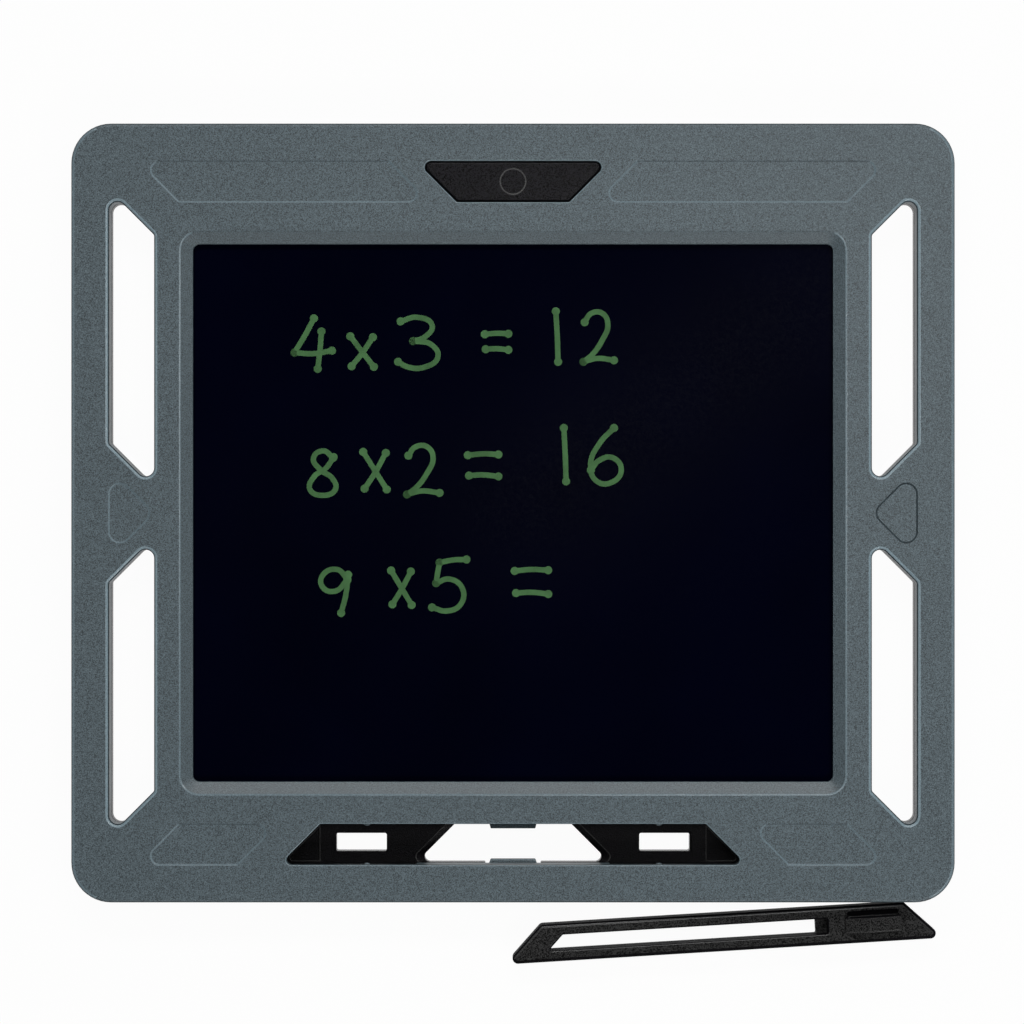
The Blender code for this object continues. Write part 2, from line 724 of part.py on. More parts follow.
def door_corners():
    """Outline of the battery door, with its screw lug on the right."""
    side = CELL_RADIUS + DOOR_MARGIN
    right = CELL_X + CELL_RADIUS + DOOR_LUG
    return rectangle(CELL_X - side, right, BAND_MIDDLE - side, BAND_MIDDLE + side, DOOR_CORNER)


def screw_shaft(name, x, y, head_radius, head_high, shank_radius, shank_high):
    """Stepped hole for one screw, open at the back."""
    shaft = turned(name, [
        (0.0, shank_high),
        (shank_radius, shank_high),
        (shank_radius, head_high),
        (head_radius, head_high),
        (head_radius, -OVERRUN),
        (0.0, -OVERRUN),
    ])
    shaft.location = (x, y, 0.0)
    bpy.context.view_layer.update()
    return shaft


def plug_hole(side_x):
    """Rectangular hole through a dock well, chamfered at the well's floor."""
    centre = side_x * HOLE_X
    corners = rectangle(centre - HOLE_LENGTH / 2, centre + HOLE_LENGTH / 2,
                        -BAND_MIDDLE - HOLE_HEIGHT / 2, -BAND_MIDDLE + HOLE_HEIGHT / 2, HOLE_RADIUS)
    return flared(f"plug_hole_{side_x}", corners, -OVERRUN, PARTING_HEIGHT, HOLE_CHAMFER, HOLE_CHAMFER)


def tip_relief(side_x):
    """Lower floor at the pointed end of a dock well."""
    corners = corner_mirror([
        (DOCK_HALF, BAND_IN, SHARP),
        (DOCK_LONG_HALF, BAND_OUT, DOCK_RADIUS),
        (DOCK_HALF, BAND_OUT, SHARP),
    ], side_x, -1)
    low = PARTING_HEIGHT - RELIEF_DEPTH
    return extrude(f"tip_relief_{side_x}", rounded(corners, -RELIEF_INSET), low, PARTING_HEIGHT + OVERRUN)


def make_back_cover(parent):
    """Black back shell: floor, walls, the dock's two wells, ribs, bosses and battery bay."""
    cover = board_block("back_cover")
    combine(cover, trim("cover_trim", PARTING_HEIGHT, FACE_HEIGHT + OVERRUN))
    above = PARTING_HEIGHT + OVERRUN
    combine(cover, shell_hollow("cover_hollow", FLOOR_WALL, above, [dock_outline(ISLAND_WALL)]))
    combine(cover, floor_lattice(), "UNION")
    sunk = FLOOR_WALL / 2
    bay = rounded(door_corners(), CLEARANCE + BAY_WALL)
    combine(cover, extrude("battery_bay", bay, sunk, BAY_HIGH), "UNION")
    boss_high = BOARD_LOW - CLEARANCE
    boss_points = board_screw_points() + [(DOOR_SCREW_X, BAND_MIDDLE)]
    bosses = [circle(x, y, SMALL_BOSS_RADIUS) for x, y in boss_points]
    combine(cover, extrude_many("small_bosses", bosses, sunk, boss_high), "UNION")

    window = flared("window_cut", trapezoid(WINDOW_HALF, WINDOW_RADIUS, -1), -OVERRUN,
                    PARTING_HEIGHT, WINDOW_CHAMFER, WINDOW_CHAMFER_DEPTH)
    combine(cover, gather("dock_holes", [window, plug_hole(-1), plug_hole(1)]))
    notch_half = TAB_HALF + TAB_NOTCH
    notch_wall = COLLAR_WALL + CLEARANCE
    notch = rectangle(-notch_half, notch_half, -BAND_OUT - notch_wall, -BAND_IN + notch_wall, SHARP)
    combine(cover, extrude("tab_notch", rounded(notch), -OVERRUN, above))
    combine(cover, gather("tip_reliefs", [tip_relief(-1), tip_relief(1)]))
    trays = [tray_outline(side_x) for side_x in (-1, 1)]
    combine(cover, extrude_many("tray_walls", trays, FLOOR_WALL, CEILING - CLEARANCE), "UNION")

    case_head = (CASE_HEAD_RADIUS + CLEARANCE, HEAD_RECESS + CASE_HEAD_HEIGHT + CLEARANCE)
    case_shank = (CASE_SHANK_RADIUS + CLEARANCE, above)
    shafts = [screw_shaft(f"case_shaft_{index}", x, y, *case_head, *case_shank)
              for index, (x, y) in enumerate(case_screw_points())]
    combine(cover, gather("case_shafts", shafts))
    pilot = SMALL_SHANK_RADIUS + CLEARANCE
    pilot_low = SOLDER_HIGH - BOARD_SHANK_LENGTH - CLEARANCE
    pilots = [circle(x, y, pilot) for x, y in board_screw_points()]
    combine(cover, extrude_many("board_pilots", pilots, pilot_low, boss_high + OVERRUN))
    combine(cover, extrude("door_recess", rounded(door_corners(), CLEARANCE), -OVERRUN, LEDGE_LOW))
    cell_mouth = circle(CELL_X, BAND_MIDDLE, CELL_RADIUS + CLEARANCE, CELL_STEPS)
    combine(cover, extrude("cell_mouth", cell_mouth, LEDGE_LOW - OVERRUN, boss_high))
    door_pilot_high = HEAD_RECESS + SMALL_HEAD_HEIGHT + DOOR_SHANK_LENGTH + CLEARANCE
    door_pilot = circle(DOOR_SCREW_X, BAND_MIDDLE, pilot)
    combine(cover, extrude("door_pilot", door_pilot, LEDGE_LOW - OVERRUN, door_pilot_high))
    part(cover, "black_shell", parent)


def make_screen(parent):
    """Film, the tape that hangs it under the bezel, and the plate behind it."""
    film = rounded(film_corners())
    part(extrude("writing_film", film, FILM_LOW, FILM_HIGH), "film", parent)
    tape_hole = rounded(screen_corners(), TAPE_SETBACK)
    part(extrude("film_tape", film, TAPE_HIGH - TAPE_THICKNESS, TAPE_HIGH, [tape_hole]), "tape", parent)
    part(extrude("backer_plate", film, BACKER_LOW, BACKER_HIGH), "backer", parent)


def make_button(parent):
    """Erase button: capped skin, flange that keeps it in, press post and two guide pegs."""
    opening = trapezoid(BUTTON_HALF, BUTTON_RADIUS, 1)
    button = extrude("erase_button", rounded(opening, -CLEARANCE), FLANGE_LOW, BUTTON_HIGH)
    flange = rounded(opening, BUTTON_FLANGE - CLEARANCE)
    combine(button, extrude("button_flange", flange, FLANGE_LOW, FLANGE_HIGH), "UNION")
    hollow = rounded(opening, -CLEARANCE - BUTTON_SKIN)
    combine(button, extrude("button_hollow", hollow, FLANGE_LOW - OVERRUN, BUTTON_HOLLOW))
    rooted = BUTTON_HOLLOW + POST_ROOT
    combine(button, extrude("press_post", circle(0, BAND_MIDDLE, POST_RADIUS), POST_LOW, rooted), "UNION")
    for side_x in (-1, 1):
        peg = circle(side_x * PEG_SPREAD, BAND_MIDDLE, PEG_RADIUS)
        peg_low = BOARD_LOW - CLEARANCE
        combine(button, extrude(f"guide_peg_{side_x}", peg, peg_low, rooted), "UNION")
    ring_out = circle(0, BAND_MIDDLE, BUTTON_RING_RADIUS + BUTTON_RING_WIDTH / 2, CELL_STEPS)
    ring_in = circle(0, BAND_MIDDLE, BUTTON_RING_RADIUS - BUTTON_RING_WIDTH / 2, CELL_STEPS)
    ring_low = BUTTON_HIGH - BUTTON_RING_DEPTH
    combine(button, extrude("ring_groove", ring_out, ring_low, BUTTON_HIGH + OVERRUN, [ring_in]))
    part(button, "black_shell", parent, (0, BAND_MIDDLE, FACE_HEIGHT))


def make_switch(parent):
    """Push switch under the button: body with a bore, and its plunger."""
    half = SWITCH_SIZE / 2
    body_outline = rectangle(-half, half, BAND_MIDDLE - half, BAND_MIDDLE + half, SMALL_RADIUS)
    body = extrude("switch_body", rounded(body_outline), SOLDER_HIGH, SWITCH_HIGH)
    bore = circle(0, BAND_MIDDLE, PLUNGER_RADIUS + CLEARANCE)
    bore_low = SOLDER_HIGH + SWITCH_FLOOR
    combine(body, extrude("switch_bore", bore, bore_low, SWITCH_HIGH + OVERRUN))
    part(body, "switch_black", parent)
    plunger_low = bore_low + BUTTON_TRAVEL + SWITCH_FLOOR_GAP
    plunger = extrude("switch_plunger", circle(0, BAND_MIDDLE, PLUNGER_RADIUS), plunger_low, PLUNGER_HIGH)
    part(smooth(plunger), "plunger_white", parent, (0, BAND_MIDDLE, SWITCH_HIGH))


def chip(name, x, y, length, width, height, finish, parent):
    """Small soldered block with its corners eased."""
    outline = rectangle(x - length / 2, x + length / 2, y - width / 2, y + width / 2, SMALL_RADIUS / 2)
    part(extrude(name, rounded(outline), SOLDER_HIGH, SOLDER_HIGH + height), finish, parent)


def make_board(parent):
    """Circuit board with its screw and peg holes, and the pieces soldered to it."""
    outline = rectangle(BOARD_LEFT, BOARD_RIGHT, BOARD_NEAR, BOARD_FAR, BOARD_CORNER)
    shank = SMALL_SHANK_RADIUS + CLEARANCE
    openings = [circle(x, y, shank) for x, y in board_screw_points()]
    openings += [circle(side * PEG_SPREAD, BAND_MIDDLE, PEG_RADIUS + CLEARANCE) for side in (-1, 1)]
    part(extrude("circuit_board", rounded(outline), BOARD_LOW, BOARD_HIGH, openings), "board_green", parent)
    column = BOARD_LEFT + FLEX_INSET
    connector_far = BOARD_NEAR + CONNECTOR_DEPTH + CLEARANCE
    chip_y = connector_far + CLEARANCE + CHIP_SIZE
    chip("driver_chip", column, chip_y, CHIP_SIZE, CHIP_SIZE, CHIP_HEIGHT, "chip_black", parent)
    inductor_x = column + CHIP_SIZE / 2 + CAPACITOR_PITCH + INDUCTOR_SIZE / 2
    inductor_y = BOARD_FAR - CLEARANCE - INDUCTOR_SIZE / 2
    chip("boost_inductor", inductor_x, inductor_y, INDUCTOR_SIZE, INDUCTOR_SIZE,
         INDUCTOR_HEIGHT, "ferrite", parent)
    for index in range(3):
        x = column + (index - 1) * CAPACITOR_PITCH
        y = chip_y + CHIP_SIZE / 2 + CAPACITOR_LENGTH
        chip(f"capacitor_{index + 1}", x, y, CAPACITOR_WIDTH, CAPACITOR_LENGTH,
             CAPACITOR_HEIGHT, "ceramic", parent)
    reach = FLEX_WIDTH / 2 + CONNECTOR_CHEEK
    connector = rectangle(FLEX_X - reach, FLEX_X + reach, BOARD_NEAR + CLEARANCE, connector_far, SMALL_RADIUS)
    part(extrude("flex_connector", rounded(connector), SOLDER_HIGH, SOLDER_HIGH + CONNECTOR_HEIGHT),
         "connector_ivory", parent)


def make_flex(parent):
    """Flexible lead from the film's top edge down to the connector, bent like an S."""
    start = Vector((FILM_HALF_HEIGHT + CLEARANCE, (FILM_LOW + FILM_HIGH) / 2))
    end = Vector((BOARD_NEAR, FLEX_END_HEIGHT))
    upper = []
    lower = []
    for step in range(FLEX_STEPS + 1):
        share = step / FLEX_STEPS
        ease = share * share * (3 - 2 * share)
        slope = 6 * share * (1 - share) * (end.y - start.y)
        along = Vector((end.x - start.x, slope)).normalized()
        middle = Vector((start.x + (end.x - start.x) * share, start.y + (end.y - start.y) * ease))
        across = Vector((-along.y, along.x)) * FLEX_THICKNESS / 2
        upper.append(tuple(middle + across))
        lower.append(tuple(middle - across))
    left = FLEX_X - FLEX_WIDTH / 2
    right = FLEX_X + FLEX_WIDTH / 2
    tail = extrude("flex_tail", lower + upper[::-1], left, right, frame=UPRIGHT)
    part(tail, "flex_amber", parent)


def make_battery(parent):
    """Coin cell, its two contacts and the door that closes its bay."""
    cell_high = CELL_LOW + CELL_THICKNESS
    rim_radius = CELL_RADIUS - CELL_ROUND
    cell = turned("coin_cell", [
        (0.0, cell_high),
        (rim_radius, cell_high),
        (CELL_RADIUS, cell_high - CELL_ROUND),
        (CELL_RADIUS, CELL_LOW + CELL_ROUND),
        (rim_radius, CELL_LOW),
        (0.0, CELL_LOW),
    ], CELL_STEPS)
    cell.location = (CELL_X, BAND_MIDDLE, 0.0)
    bpy.context.view_layer.update()
    part(cell, "steel", parent)
    contact_reach = CELL_RADIUS - CONTACT_INSET
    contact = rectangle(CELL_X - contact_reach, CELL_X + contact_reach,
                        BAND_MIDDLE - CONTACT_WIDTH / 2, BAND_MIDDLE + CONTACT_WIDTH / 2, DOOR_CORNER / 2)
    contact_high = CONTACT_LOW + CONTACT_THICKNESS
    part(extrude("cell_contact", rounded(contact), CONTACT_LOW, contact_high), "steel", parent)
    inner = CELL_RADIUS + CLEARANCE
    steps = CIRCLE_STEPS // 2
    angles = [math.pi - CLIP_SPAN / 2 + CLIP_SPAN * step / steps for step in range(steps + 1)]
    inside = [(CELL_X + inner * math.cos(a), BAND_MIDDLE + inner * math.sin(a)) for a in angles]
    outer = inner + CLIP_THICKNESS
    outside = [(CELL_X + outer * math.cos(a), BAND_MIDDLE + outer * math.sin(a)) for a in angles]
    clip = extrude("cell_clip", outside + inside[::-1], BAY_HIGH + CLEARANCE, BOARD_LOW - CLEARANCE)
    part(smooth(clip), "steel", parent)
    door = extrude("battery_door", rounded(door_corners()), 0.0, DOOR_THICKNESS)
    head_high = HEAD_RECESS + SMALL_HEAD_HEIGHT + CLEARANCE
    head = circle(DOOR_SCREW_X, BAND_MIDDLE, SMALL_HEAD_RADIUS + CLEARANCE)
    shank = circle(DOOR_SCREW_X, BAND_MIDDLE, SMALL_SHANK_RADIUS + CLEARANCE)
    combine(door, extrude("door_head", head, -OVERRUN, head_high))
    combine(door, extrude("door_shank", shank, -OVERRUN, DOOR_THICKNESS + OVERRUN))
    part(door, "black_shell", parent)


def screw_mesh(name, head_radius, head_height, shank_radius, shank_length):
    """Screw along +Z with its head's outer face at zero and a cross drive in it."""
    screw = turned(name, [
        (0.0, head_height + shank_length),
        (shank_radius, head_height + shank_length),
        (shank_radius, head_height),
        (head_radius, head_height),
        (head_radius, 0.0),
        (0.0, 0.0),
    ])
    arm = head_radius * DRIVE_REACH
    side = DRIVE_WIDTH / 2
    tip = side * DRIVE_TAPER
    quarter = [(arm, -tip), (arm, tip), (side, side)]
    cross = list(quarter)
    for _ in range(3):
        quarter = [(-y, x) for x, y in quarter]
        cross += quarter
    drive = extrude(name + "_drive", cross, -OVERRUN, DRIVE_DEPTH)
    combine(screw, drive)
    mesh = plain_mesh(screw)
    mesh.materials.clear()
    mesh.materials.append(bpy.data.materials["screw_steel"])
    return mesh


def place_screws(prefix, mesh, points, height, flip, parent):
    """One screw object at each point, numbered, all sharing one mesh."""
    for index, (x, y) in enumerate(points):
        name = f"{prefix}_{index + 1}" if len(points) > 1 else prefix
        screw = bpy.data.objects.new(name, mesh)
        bpy.data.collections["lcd_writing_tablet"].objects.link(screw)
        screw.parent = parent
        screw.location = (x, y, height)
        screw.rotation_euler = (math.pi if flip else 0.0, 0.0, 0.0)


def make_screws(parent):
    """Case, board and door screws."""
    case = screw_mesh("case_screw", CASE_HEAD_RADIUS, CASE_HEAD_HEIGHT, CASE_SHANK_RADIUS, CASE_SHANK_LENGTH)
    place_screws("case_screw", case, case_screw_points(), HEAD_RECESS, False, parent)
    small = (SMALL_HEAD_RADIUS, SMALL_HEAD_HEIGHT, SMALL_SHANK_RADIUS)
    board = screw_mesh("board_screw", *small, BOARD_SHANK_LENGTH)
    board_height = SOLDER_HIGH + SMALL_HEAD_HEIGHT
    place_screws("board_screw", board, board_screw_points(), board_height, True, parent)
    door = screw_mesh("door_screw", *small, DOOR_SHANK_LENGTH)
    place_screws("door_screw", door, [(DOOR_SCREW_X, BAND_MIDDLE)], HEAD_RECESS, False, parent)


def make_stylus(parent):
    """Stylus along X with its long edge towards -Y, its window and its raised plug."""
    half = STYLUS_WIDTH / 2
    corners = [
        (-STYLUS_LONG_HALF, -half, STYLUS_TIP_RADIUS),
        (STYLUS_LONG_HALF, -half, STYLUS_TIP_RADIUS),
        (STYLUS_SHORT_HALF, half, STYLUS_SHOULDER_RADIUS),
        (-STYLUS_SHORT_HALF, half, STYLUS_SHOULDER_RADIUS),
    ]
    stylus = extrude("stylus", rounded(corners), 0.0, STYLUS_THICKNESS, rim=STYLUS_ROUND)
    low = -STYLUS_WINDOW_HEIGHT / 2
    high = STYLUS_WINDOW_HEIGHT / 2
    start = -STYLUS_LONG_HALF + STYLUS_WINDOW_START
    window = [
        (start, low, SMALL_RADIUS),
        (STYLUS_WINDOW_END, low, SMALL_RADIUS),
        (STYLUS_WINDOW_END, high, SMALL_RADIUS),
        (start + STYLUS_WINDOW_HEIGHT, high, SMALL_RADIUS),
    ]
    combine(stylus, extrude("stylus_window", rounded(window), -OVERRUN, STYLUS_THICKNESS + OVERRUN))
    pocket_end = STYLUS_WINDOW_END + STYLUS_POCKET_LENGTH
    pocket_inset = SMALL_RADIUS / 2
    pocket = rectangle(STYLUS_WINDOW_END - OVERRUN, pocket_end,
                       low + pocket_inset, high - pocket_inset, SMALL_RADIUS)
    combine(stylus, extrude("stylus_pocket", rounded(pocket),
                            STYLUS_THICKNESS - STYLUS_POCKET_DEPTH, STYLUS_THICKNESS + OVERRUN))
    plug_half = HOLE_LENGTH / 2 - CLEARANCE
    left = HOLE_X - plug_half
    right = HOLE_X + plug_half
    ridge = left + (right - left) * PLUG_RIDGE
    root = STYLUS_THICKNESS - STYLUS_ROUND
    profile = [
        (left, root),
        (right, root),
        (right, STYLUS_THICKNESS + PLUG_END_HEIGHT),
        (ridge, STYLUS_THICKNESS + PLUG_HEIGHT),
        (left, STYLUS_THICKNESS + PLUG_END_HEIGHT / 2),
    ]
    plug_width = HOLE_HEIGHT / 2 - CLEARANCE
    standing = Matrix.Rotation(math.pi / 2, 4, "X")
    combine(stylus, extrude("stylus_plug", profile, -plug_width, plug_width, frame=standing), "UNION")
    part(stylus, "black_shell", parent)


def make_parent(name):
    """Empty that carries one group of pieces."""
    empty = bpy.data.objects.new(name, None)
    bpy.data.collections["lcd_writing_tablet"].objects.link(empty)
    return empty


def main():
    """Clear the scene and build every piece in place."""
    for item in list(bpy.data.objects):
        bpy.data.objects.remove(item)
    make_collection("lcd_writing_tablet")
    make_collection("cutters")
    make_materials()
    tablet = make_parent("tablet_origin")
    make_front_frame(tablet)
    make_back_cover(tablet)
    make_screen(tablet)
    make_button(tablet)
    make_switch(tablet)
    make_board(tablet)
    make_flex(tablet)
    make_battery(tablet)
    make_screws(tablet)
    rest = make_parent("stylus_rest")
    reach = STYLUS_WIDTH / 2 * math.cos(STYLUS_TURN) + STYLUS_SHORT_HALF * math.sin(STYLUS_TURN)
    rest.location = (STYLUS_REST_X, -HALF_HEIGHT - STYLUS_REST_GAP - reach, 0.0)
    rest.rotation_euler = (0.0, 0.0, STYLUS_TURN)
    make_stylus(rest)


main()
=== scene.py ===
"""Looks of a writing tablet and its loose stylus, laid out as a Blender add-on.

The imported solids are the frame: every piece here is made in metres, in that frame, from the same sizes.
"""

import json
import math

import bmesh
import bpy
import numpy as np
from bpy.props import FloatProperty, FloatVectorProperty, IntProperty, PointerProperty
from mathutils import Matrix, Vector
from mathutils.geometry import delaunay_2d_cdt

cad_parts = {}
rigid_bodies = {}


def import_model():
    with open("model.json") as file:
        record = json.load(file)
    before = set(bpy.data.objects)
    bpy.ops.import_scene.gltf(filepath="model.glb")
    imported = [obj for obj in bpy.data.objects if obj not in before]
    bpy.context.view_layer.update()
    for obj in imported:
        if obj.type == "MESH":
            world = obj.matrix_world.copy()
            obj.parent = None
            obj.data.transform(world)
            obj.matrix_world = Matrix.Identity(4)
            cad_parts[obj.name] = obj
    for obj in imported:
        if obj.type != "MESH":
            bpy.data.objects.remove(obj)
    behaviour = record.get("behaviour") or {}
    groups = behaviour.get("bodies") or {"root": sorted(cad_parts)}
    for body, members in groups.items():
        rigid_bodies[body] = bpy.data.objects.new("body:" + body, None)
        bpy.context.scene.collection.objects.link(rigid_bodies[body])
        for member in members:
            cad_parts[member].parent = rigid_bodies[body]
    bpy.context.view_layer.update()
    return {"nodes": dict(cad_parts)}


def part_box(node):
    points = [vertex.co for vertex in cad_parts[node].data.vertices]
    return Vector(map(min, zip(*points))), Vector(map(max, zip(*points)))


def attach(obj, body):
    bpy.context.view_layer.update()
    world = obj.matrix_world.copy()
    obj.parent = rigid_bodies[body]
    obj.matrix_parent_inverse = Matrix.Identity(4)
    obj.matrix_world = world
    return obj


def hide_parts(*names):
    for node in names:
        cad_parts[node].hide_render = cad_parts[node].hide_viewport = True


bl_info = {
    "name": "Writing Tablet Looks",
    "version": (1, 0, 0),
    "blender": (4, 5, 0),
    "location": "View3D > Sidebar > Tablet",
    "description": "Makes the visible pieces, finishes and studio of a writing tablet",
    "category": "Object",
}

for leftover in list(bpy.data.objects):
    bpy.data.objects.remove(leftover)
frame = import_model()

# Outer sizes, from the solids
HALF_WIDTH, HALF_HEIGHT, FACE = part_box("front_frame")[1]
FILM_LOW, FILM_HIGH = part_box("writing_film")
BUTTON_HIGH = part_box("erase_button")[1].z
DOOR_LOW, DOOR_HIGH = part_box("battery_door")

# Layout of the front
SCREEN_HALF = (0.08275, 0.06945)
SCREEN_CORNER = 0.0017
BEZEL_SLOPE = 0.0033
BEZEL_DROP = 0.0014
CORNER_RADIUS = 0.0103
SLOT_IN = 0.09275
SLOT_OUT = 0.10435
SLOT_LOW = 0.006389
SLOT_HIGH = 0.083461
SLOT_ACUTE = 0.0022
SLOT_OBTUSE = 0.0010
BAND_IN = 0.08035
BAND_OUT = 0.09085
BAND = BAND_OUT - BAND_IN
BAND_MIDDLE = (BAND_IN + BAND_OUT) / 2
PANEL_RADIUS = 0.0023
PANEL_TOP_INNER = 0.0216
PANEL_BOTTOM_INNER = 0.0607
PANEL_OUTER = 0.0968
PANEL_DEPTH = 0.0003
TRIANGLE_RADIUS = 0.0028
BUTTON_HALF = 0.0145
BUTTON_CORNER = 0.0016
DOCK_HALF = 0.0498
DOCK_CORNER = 0.0013
WINDOW_HALF = 0.0146
WINDOW_CORNER = 0.0015

# Dock: its window's notches and chamfer, the plug holes, the reliefs, the tabs and the detent nubs
NOTCH_HALF = 0.0072
WINDOW_CHAMFER = 0.0015
WINDOW_CHAMFER_DEPTH = 0.0010
HOLE_X = 0.0394
HOLE_HALF = (0.00655, 0.00235)
HOLE_CORNER = 0.0005
HOLE_CHAMFER = 0.0006
RELIEF_INSET = 0.0005
RELIEF_DEPTH = 0.0006
# Width of the painted highlight lines round the dock's window and reliefs, and the depth below the parting
# within which the wells take painted shade
PAINTED_HIGHLIGHT_LINE = 0.0002
WELL_SHOWN = 0.0012
TAB_HALF = 0.0066
TAB_TAPER = 0.0008
TAB_LOW = 0.0030
TAB_ROUND = 0.00035
UPPER_TAB = 0.0017
LOWER_TAB = 0.0009
TAB_ROOT = 0.0004
ROOT_LOW = 0.0035
ROOT_HIGH = 0.0061
NUB_X = 0.0377
NUB_LEVEL = 0.0100
NUB_SET = 0.0007

# Erase button below its face, its feet being (x, radius, lowest z) of the press post and the guide pegs
FLANGE_HIGH = 0.0087
FLANGE_LOW = 0.0079
FLANGE_REACH = 0.0009
BUTTON_WALL = 0.0021
BUTTON_HOLLOW = 0.0095
BUTTON_FEET = ((0.0, 0.0015, 0.0088), (-0.011, 0.0009, 0.0052), (0.011, 0.0009, 0.0052))

# Stylus along X before it is turned, with its long edge towards -Y
STYLUS_TURN = math.radians(3.5)
STYLUS_THICK = 0.0059
STYLUS_LONG = 0.0571
STYLUS_SHORT = 0.0473
STYLUS_HALF = 0.0049
STYLUS_CORNER = 0.0014
EYE_HALF = 0.00195
EYE_LONG = -0.0456
EYE_SHORT = -0.0417
EYE_END = 0.0242
EYE_CORNER = 0.0004
EYE_ROUND = 0.00035
POCKET_END = 0.0271
POCKET_DEPTH = 0.0030
POCKET_SPARE = 0.00006
GROOVE = (0.0325, 0.0455, 0.0023, 0.0034)
GROOVE_DEPTH = 0.0010
GROOVE_ROUND = 0.0002
PLUG_HALF = 0.00205
PLUG_ROUND = 0.0003

# Side of the stylus' plug as corners (x, height over the stylus' face, round)
PLUG_SIDE = ((0.0317, -0.0009, 0.0003), (0.0462, -0.0009, 0.0003), (0.0462, 0.0016, 0.0005),
             (0.0380, 0.0024, 0.0008), (0.0317, 0.0008, 0.0003))

# Screws as (radius, height) of the head and the shank, and the wells that they sit in
CASE_SCREWS = [f"case_screw_{index + 1}" for index in range(10)]
CASE_HEAD = (0.0020, 0.0012)
CASE_SHANK = (0.0010, 0.0070)
CASE_WELL = 0.0023
CASE_WELL_DEPTH = 0.0017
CASE_HOLE = 0.0013
CASE_BOSS = 0.0025
DOOR_HEAD = (0.0016, 0.0008)
DOOR_SHANK = (0.0008, 0.0032)
DOOR_WELL = 0.0019
DOOR_WELL_DEPTH = 0.0013
DOOR_WELL_ROUND = 0.0002
DOOR_HOLE = 0.0011

# Screw heads: crown and cross as shares of the head's height and radius, and the cross' width
CROWN_HEIGHT = 0.30
CROWN_RADIUS = 0.84
DRIVE_LENGTH = 1.25
DRIVE_DEPTH = 0.9
DRIVE_WIDTH = 0.0005

# Battery bay
DOOR_CORNER = 0.0030
DOOR_LEDGE = 0.0021
BAY_HIGH = 0.0030
BAY_MOUTH = 0.0103
BAY_MARGIN = 0.0019
BAY_TOP_MARGIN = 0.0021

# Levels and walls of the two shells
PARTING = 0.0048
FRONT_LOW = 0.0051
CEILING = 0.0090
FLOOR = 0.0018
SHELL_WALL = 0.0018
COLLAR_WALL = 0.0016
ISLAND_WALL = 0.0028
TRAY_HIGH = 0.0087
TRAY_SUNK = 0.0005
TRAY_ROUND = 0.0002
GAP = 0.0003

# Fineness of the meshes
ARC_STEP = math.radians(7.5)
PROFILE_STEP = math.radians(15)
SUPPORT = 0.0001
SMALL = 0.0003
TINY = 0.00004
CIRCLE_STEPS = 48
STROKE_STEP = 0.00035
SHARP_ANGLE = math.radians(38)
LEVEL = 0.9999
FACING = 0.9
HAIR = 0.0001
SIDES = [(side_x, side_y) for side_x in (-1, 1) for side_y in (-1, 1)]

# Places in a piece's list of finishes: the second holds a painted highlight and the third painted shade; the
# fourth is the bezel's, with painted shade, on the front, and the wells', with painted shade, on the back
PLAIN, PAINTED_HIGHLIGHT, SHADED, BEZEL, RIM = range(5)
WELL = 3

# Photograph's scale: metres for each of its 1024 pixels at the tablet's face, and the face's middle there
PIXEL = 0.0002582
FRAME_PIXELS = 1024
FACE_MIDDLE = 513.0

# Share of the right strip light's power that the left one has
LEFT_SHARE = 0.3


def srgb(red, green, blue):
    """Scene-linear colour for a colour written as 0 to 255."""
    shares = [value / 255 for value in (red, green, blue)]
    return tuple(s / 12.92 if s <= 0.04045 else ((s + 0.055) / 1.055) ** 2.4 for s in shares)


def length(name, description, default):
    """Length property in metres."""
    return FloatProperty(name=name, description=description, default=default, min=0.0,
                         unit="LENGTH", precision=5)


def colour(name, description, default):
    """Colour property, scene linear."""
    return FloatVectorProperty(name=name, description=description, default=default,
                               size=3, min=0.0, max=1.0, subtype="COLOR")


def factor(name, description, default):
    """Plain share from 0 to 1."""
    return FloatProperty(name=name, description=description, default=default, min=0.0, max=1.0,
                         subtype="FACTOR")


def power(name, description, default):
    """Light power in watts."""
    return FloatProperty(name=name, description=description, default=default, min=0.0, unit="POWER")


class TabletSizes(bpy.types.PropertyGroup):
    """Rounds and small sizes that the solids leave plain."""

    edge_round: length("Edge round", "Round of the tablet's outer edges", 0.0009)
    slot_round: length("Slot round", "Round of the hand slots' front rims", 0.0009)
    rim_round: length("Rim round", "Round of the hand slots' back rims", 0.0014)
    bezel_round: length("Bezel round", "Round where the face turns down to the bezel slope", 0.0012)
    bezel_lip: length("Bezel lip", "Round at the foot of the bezel slope", 0.0003)
    dock_round: length("Dock round", "Round of the dock's rim", 0.00035)
    opening_round: length("Opening round", "Round of the button opening's rim", 0.00035)
    panel_slope: length("Panel slope", "Width of a recessed panel's sloped edge", 0.00034)
    lip_round: length("Lip round", "Round of the shells' parting edges", 0.0002)
    button_round: length("Button round", "Round of the erase button's top edge", 0.0004)
    ring_radius: length("Ring radius", "Radius of the fine ring in the erase button", 0.0033)
    ring_width: length("Ring width", "Width of the fine ring's groove", 0.0004)
    ring_depth: length("Ring depth", "Depth of the fine ring's groove", 0.0002)
    stylus_round: length("Stylus round", "Round of the stylus' long edges", 0.0009)
    stroke_width: length("Stroke width", "Width of a written stroke", 0.00138)
    stroke_rise: length("Stroke rise", "Height of a written stroke over the film", 0.00003)
    stroke_dot: length("Stroke dot", "Width of the dot where a stroke starts and ends", 0.0021)
    screw_seed: IntProperty(name="Screw seed", description="Seed of the screws' turns", default=7)


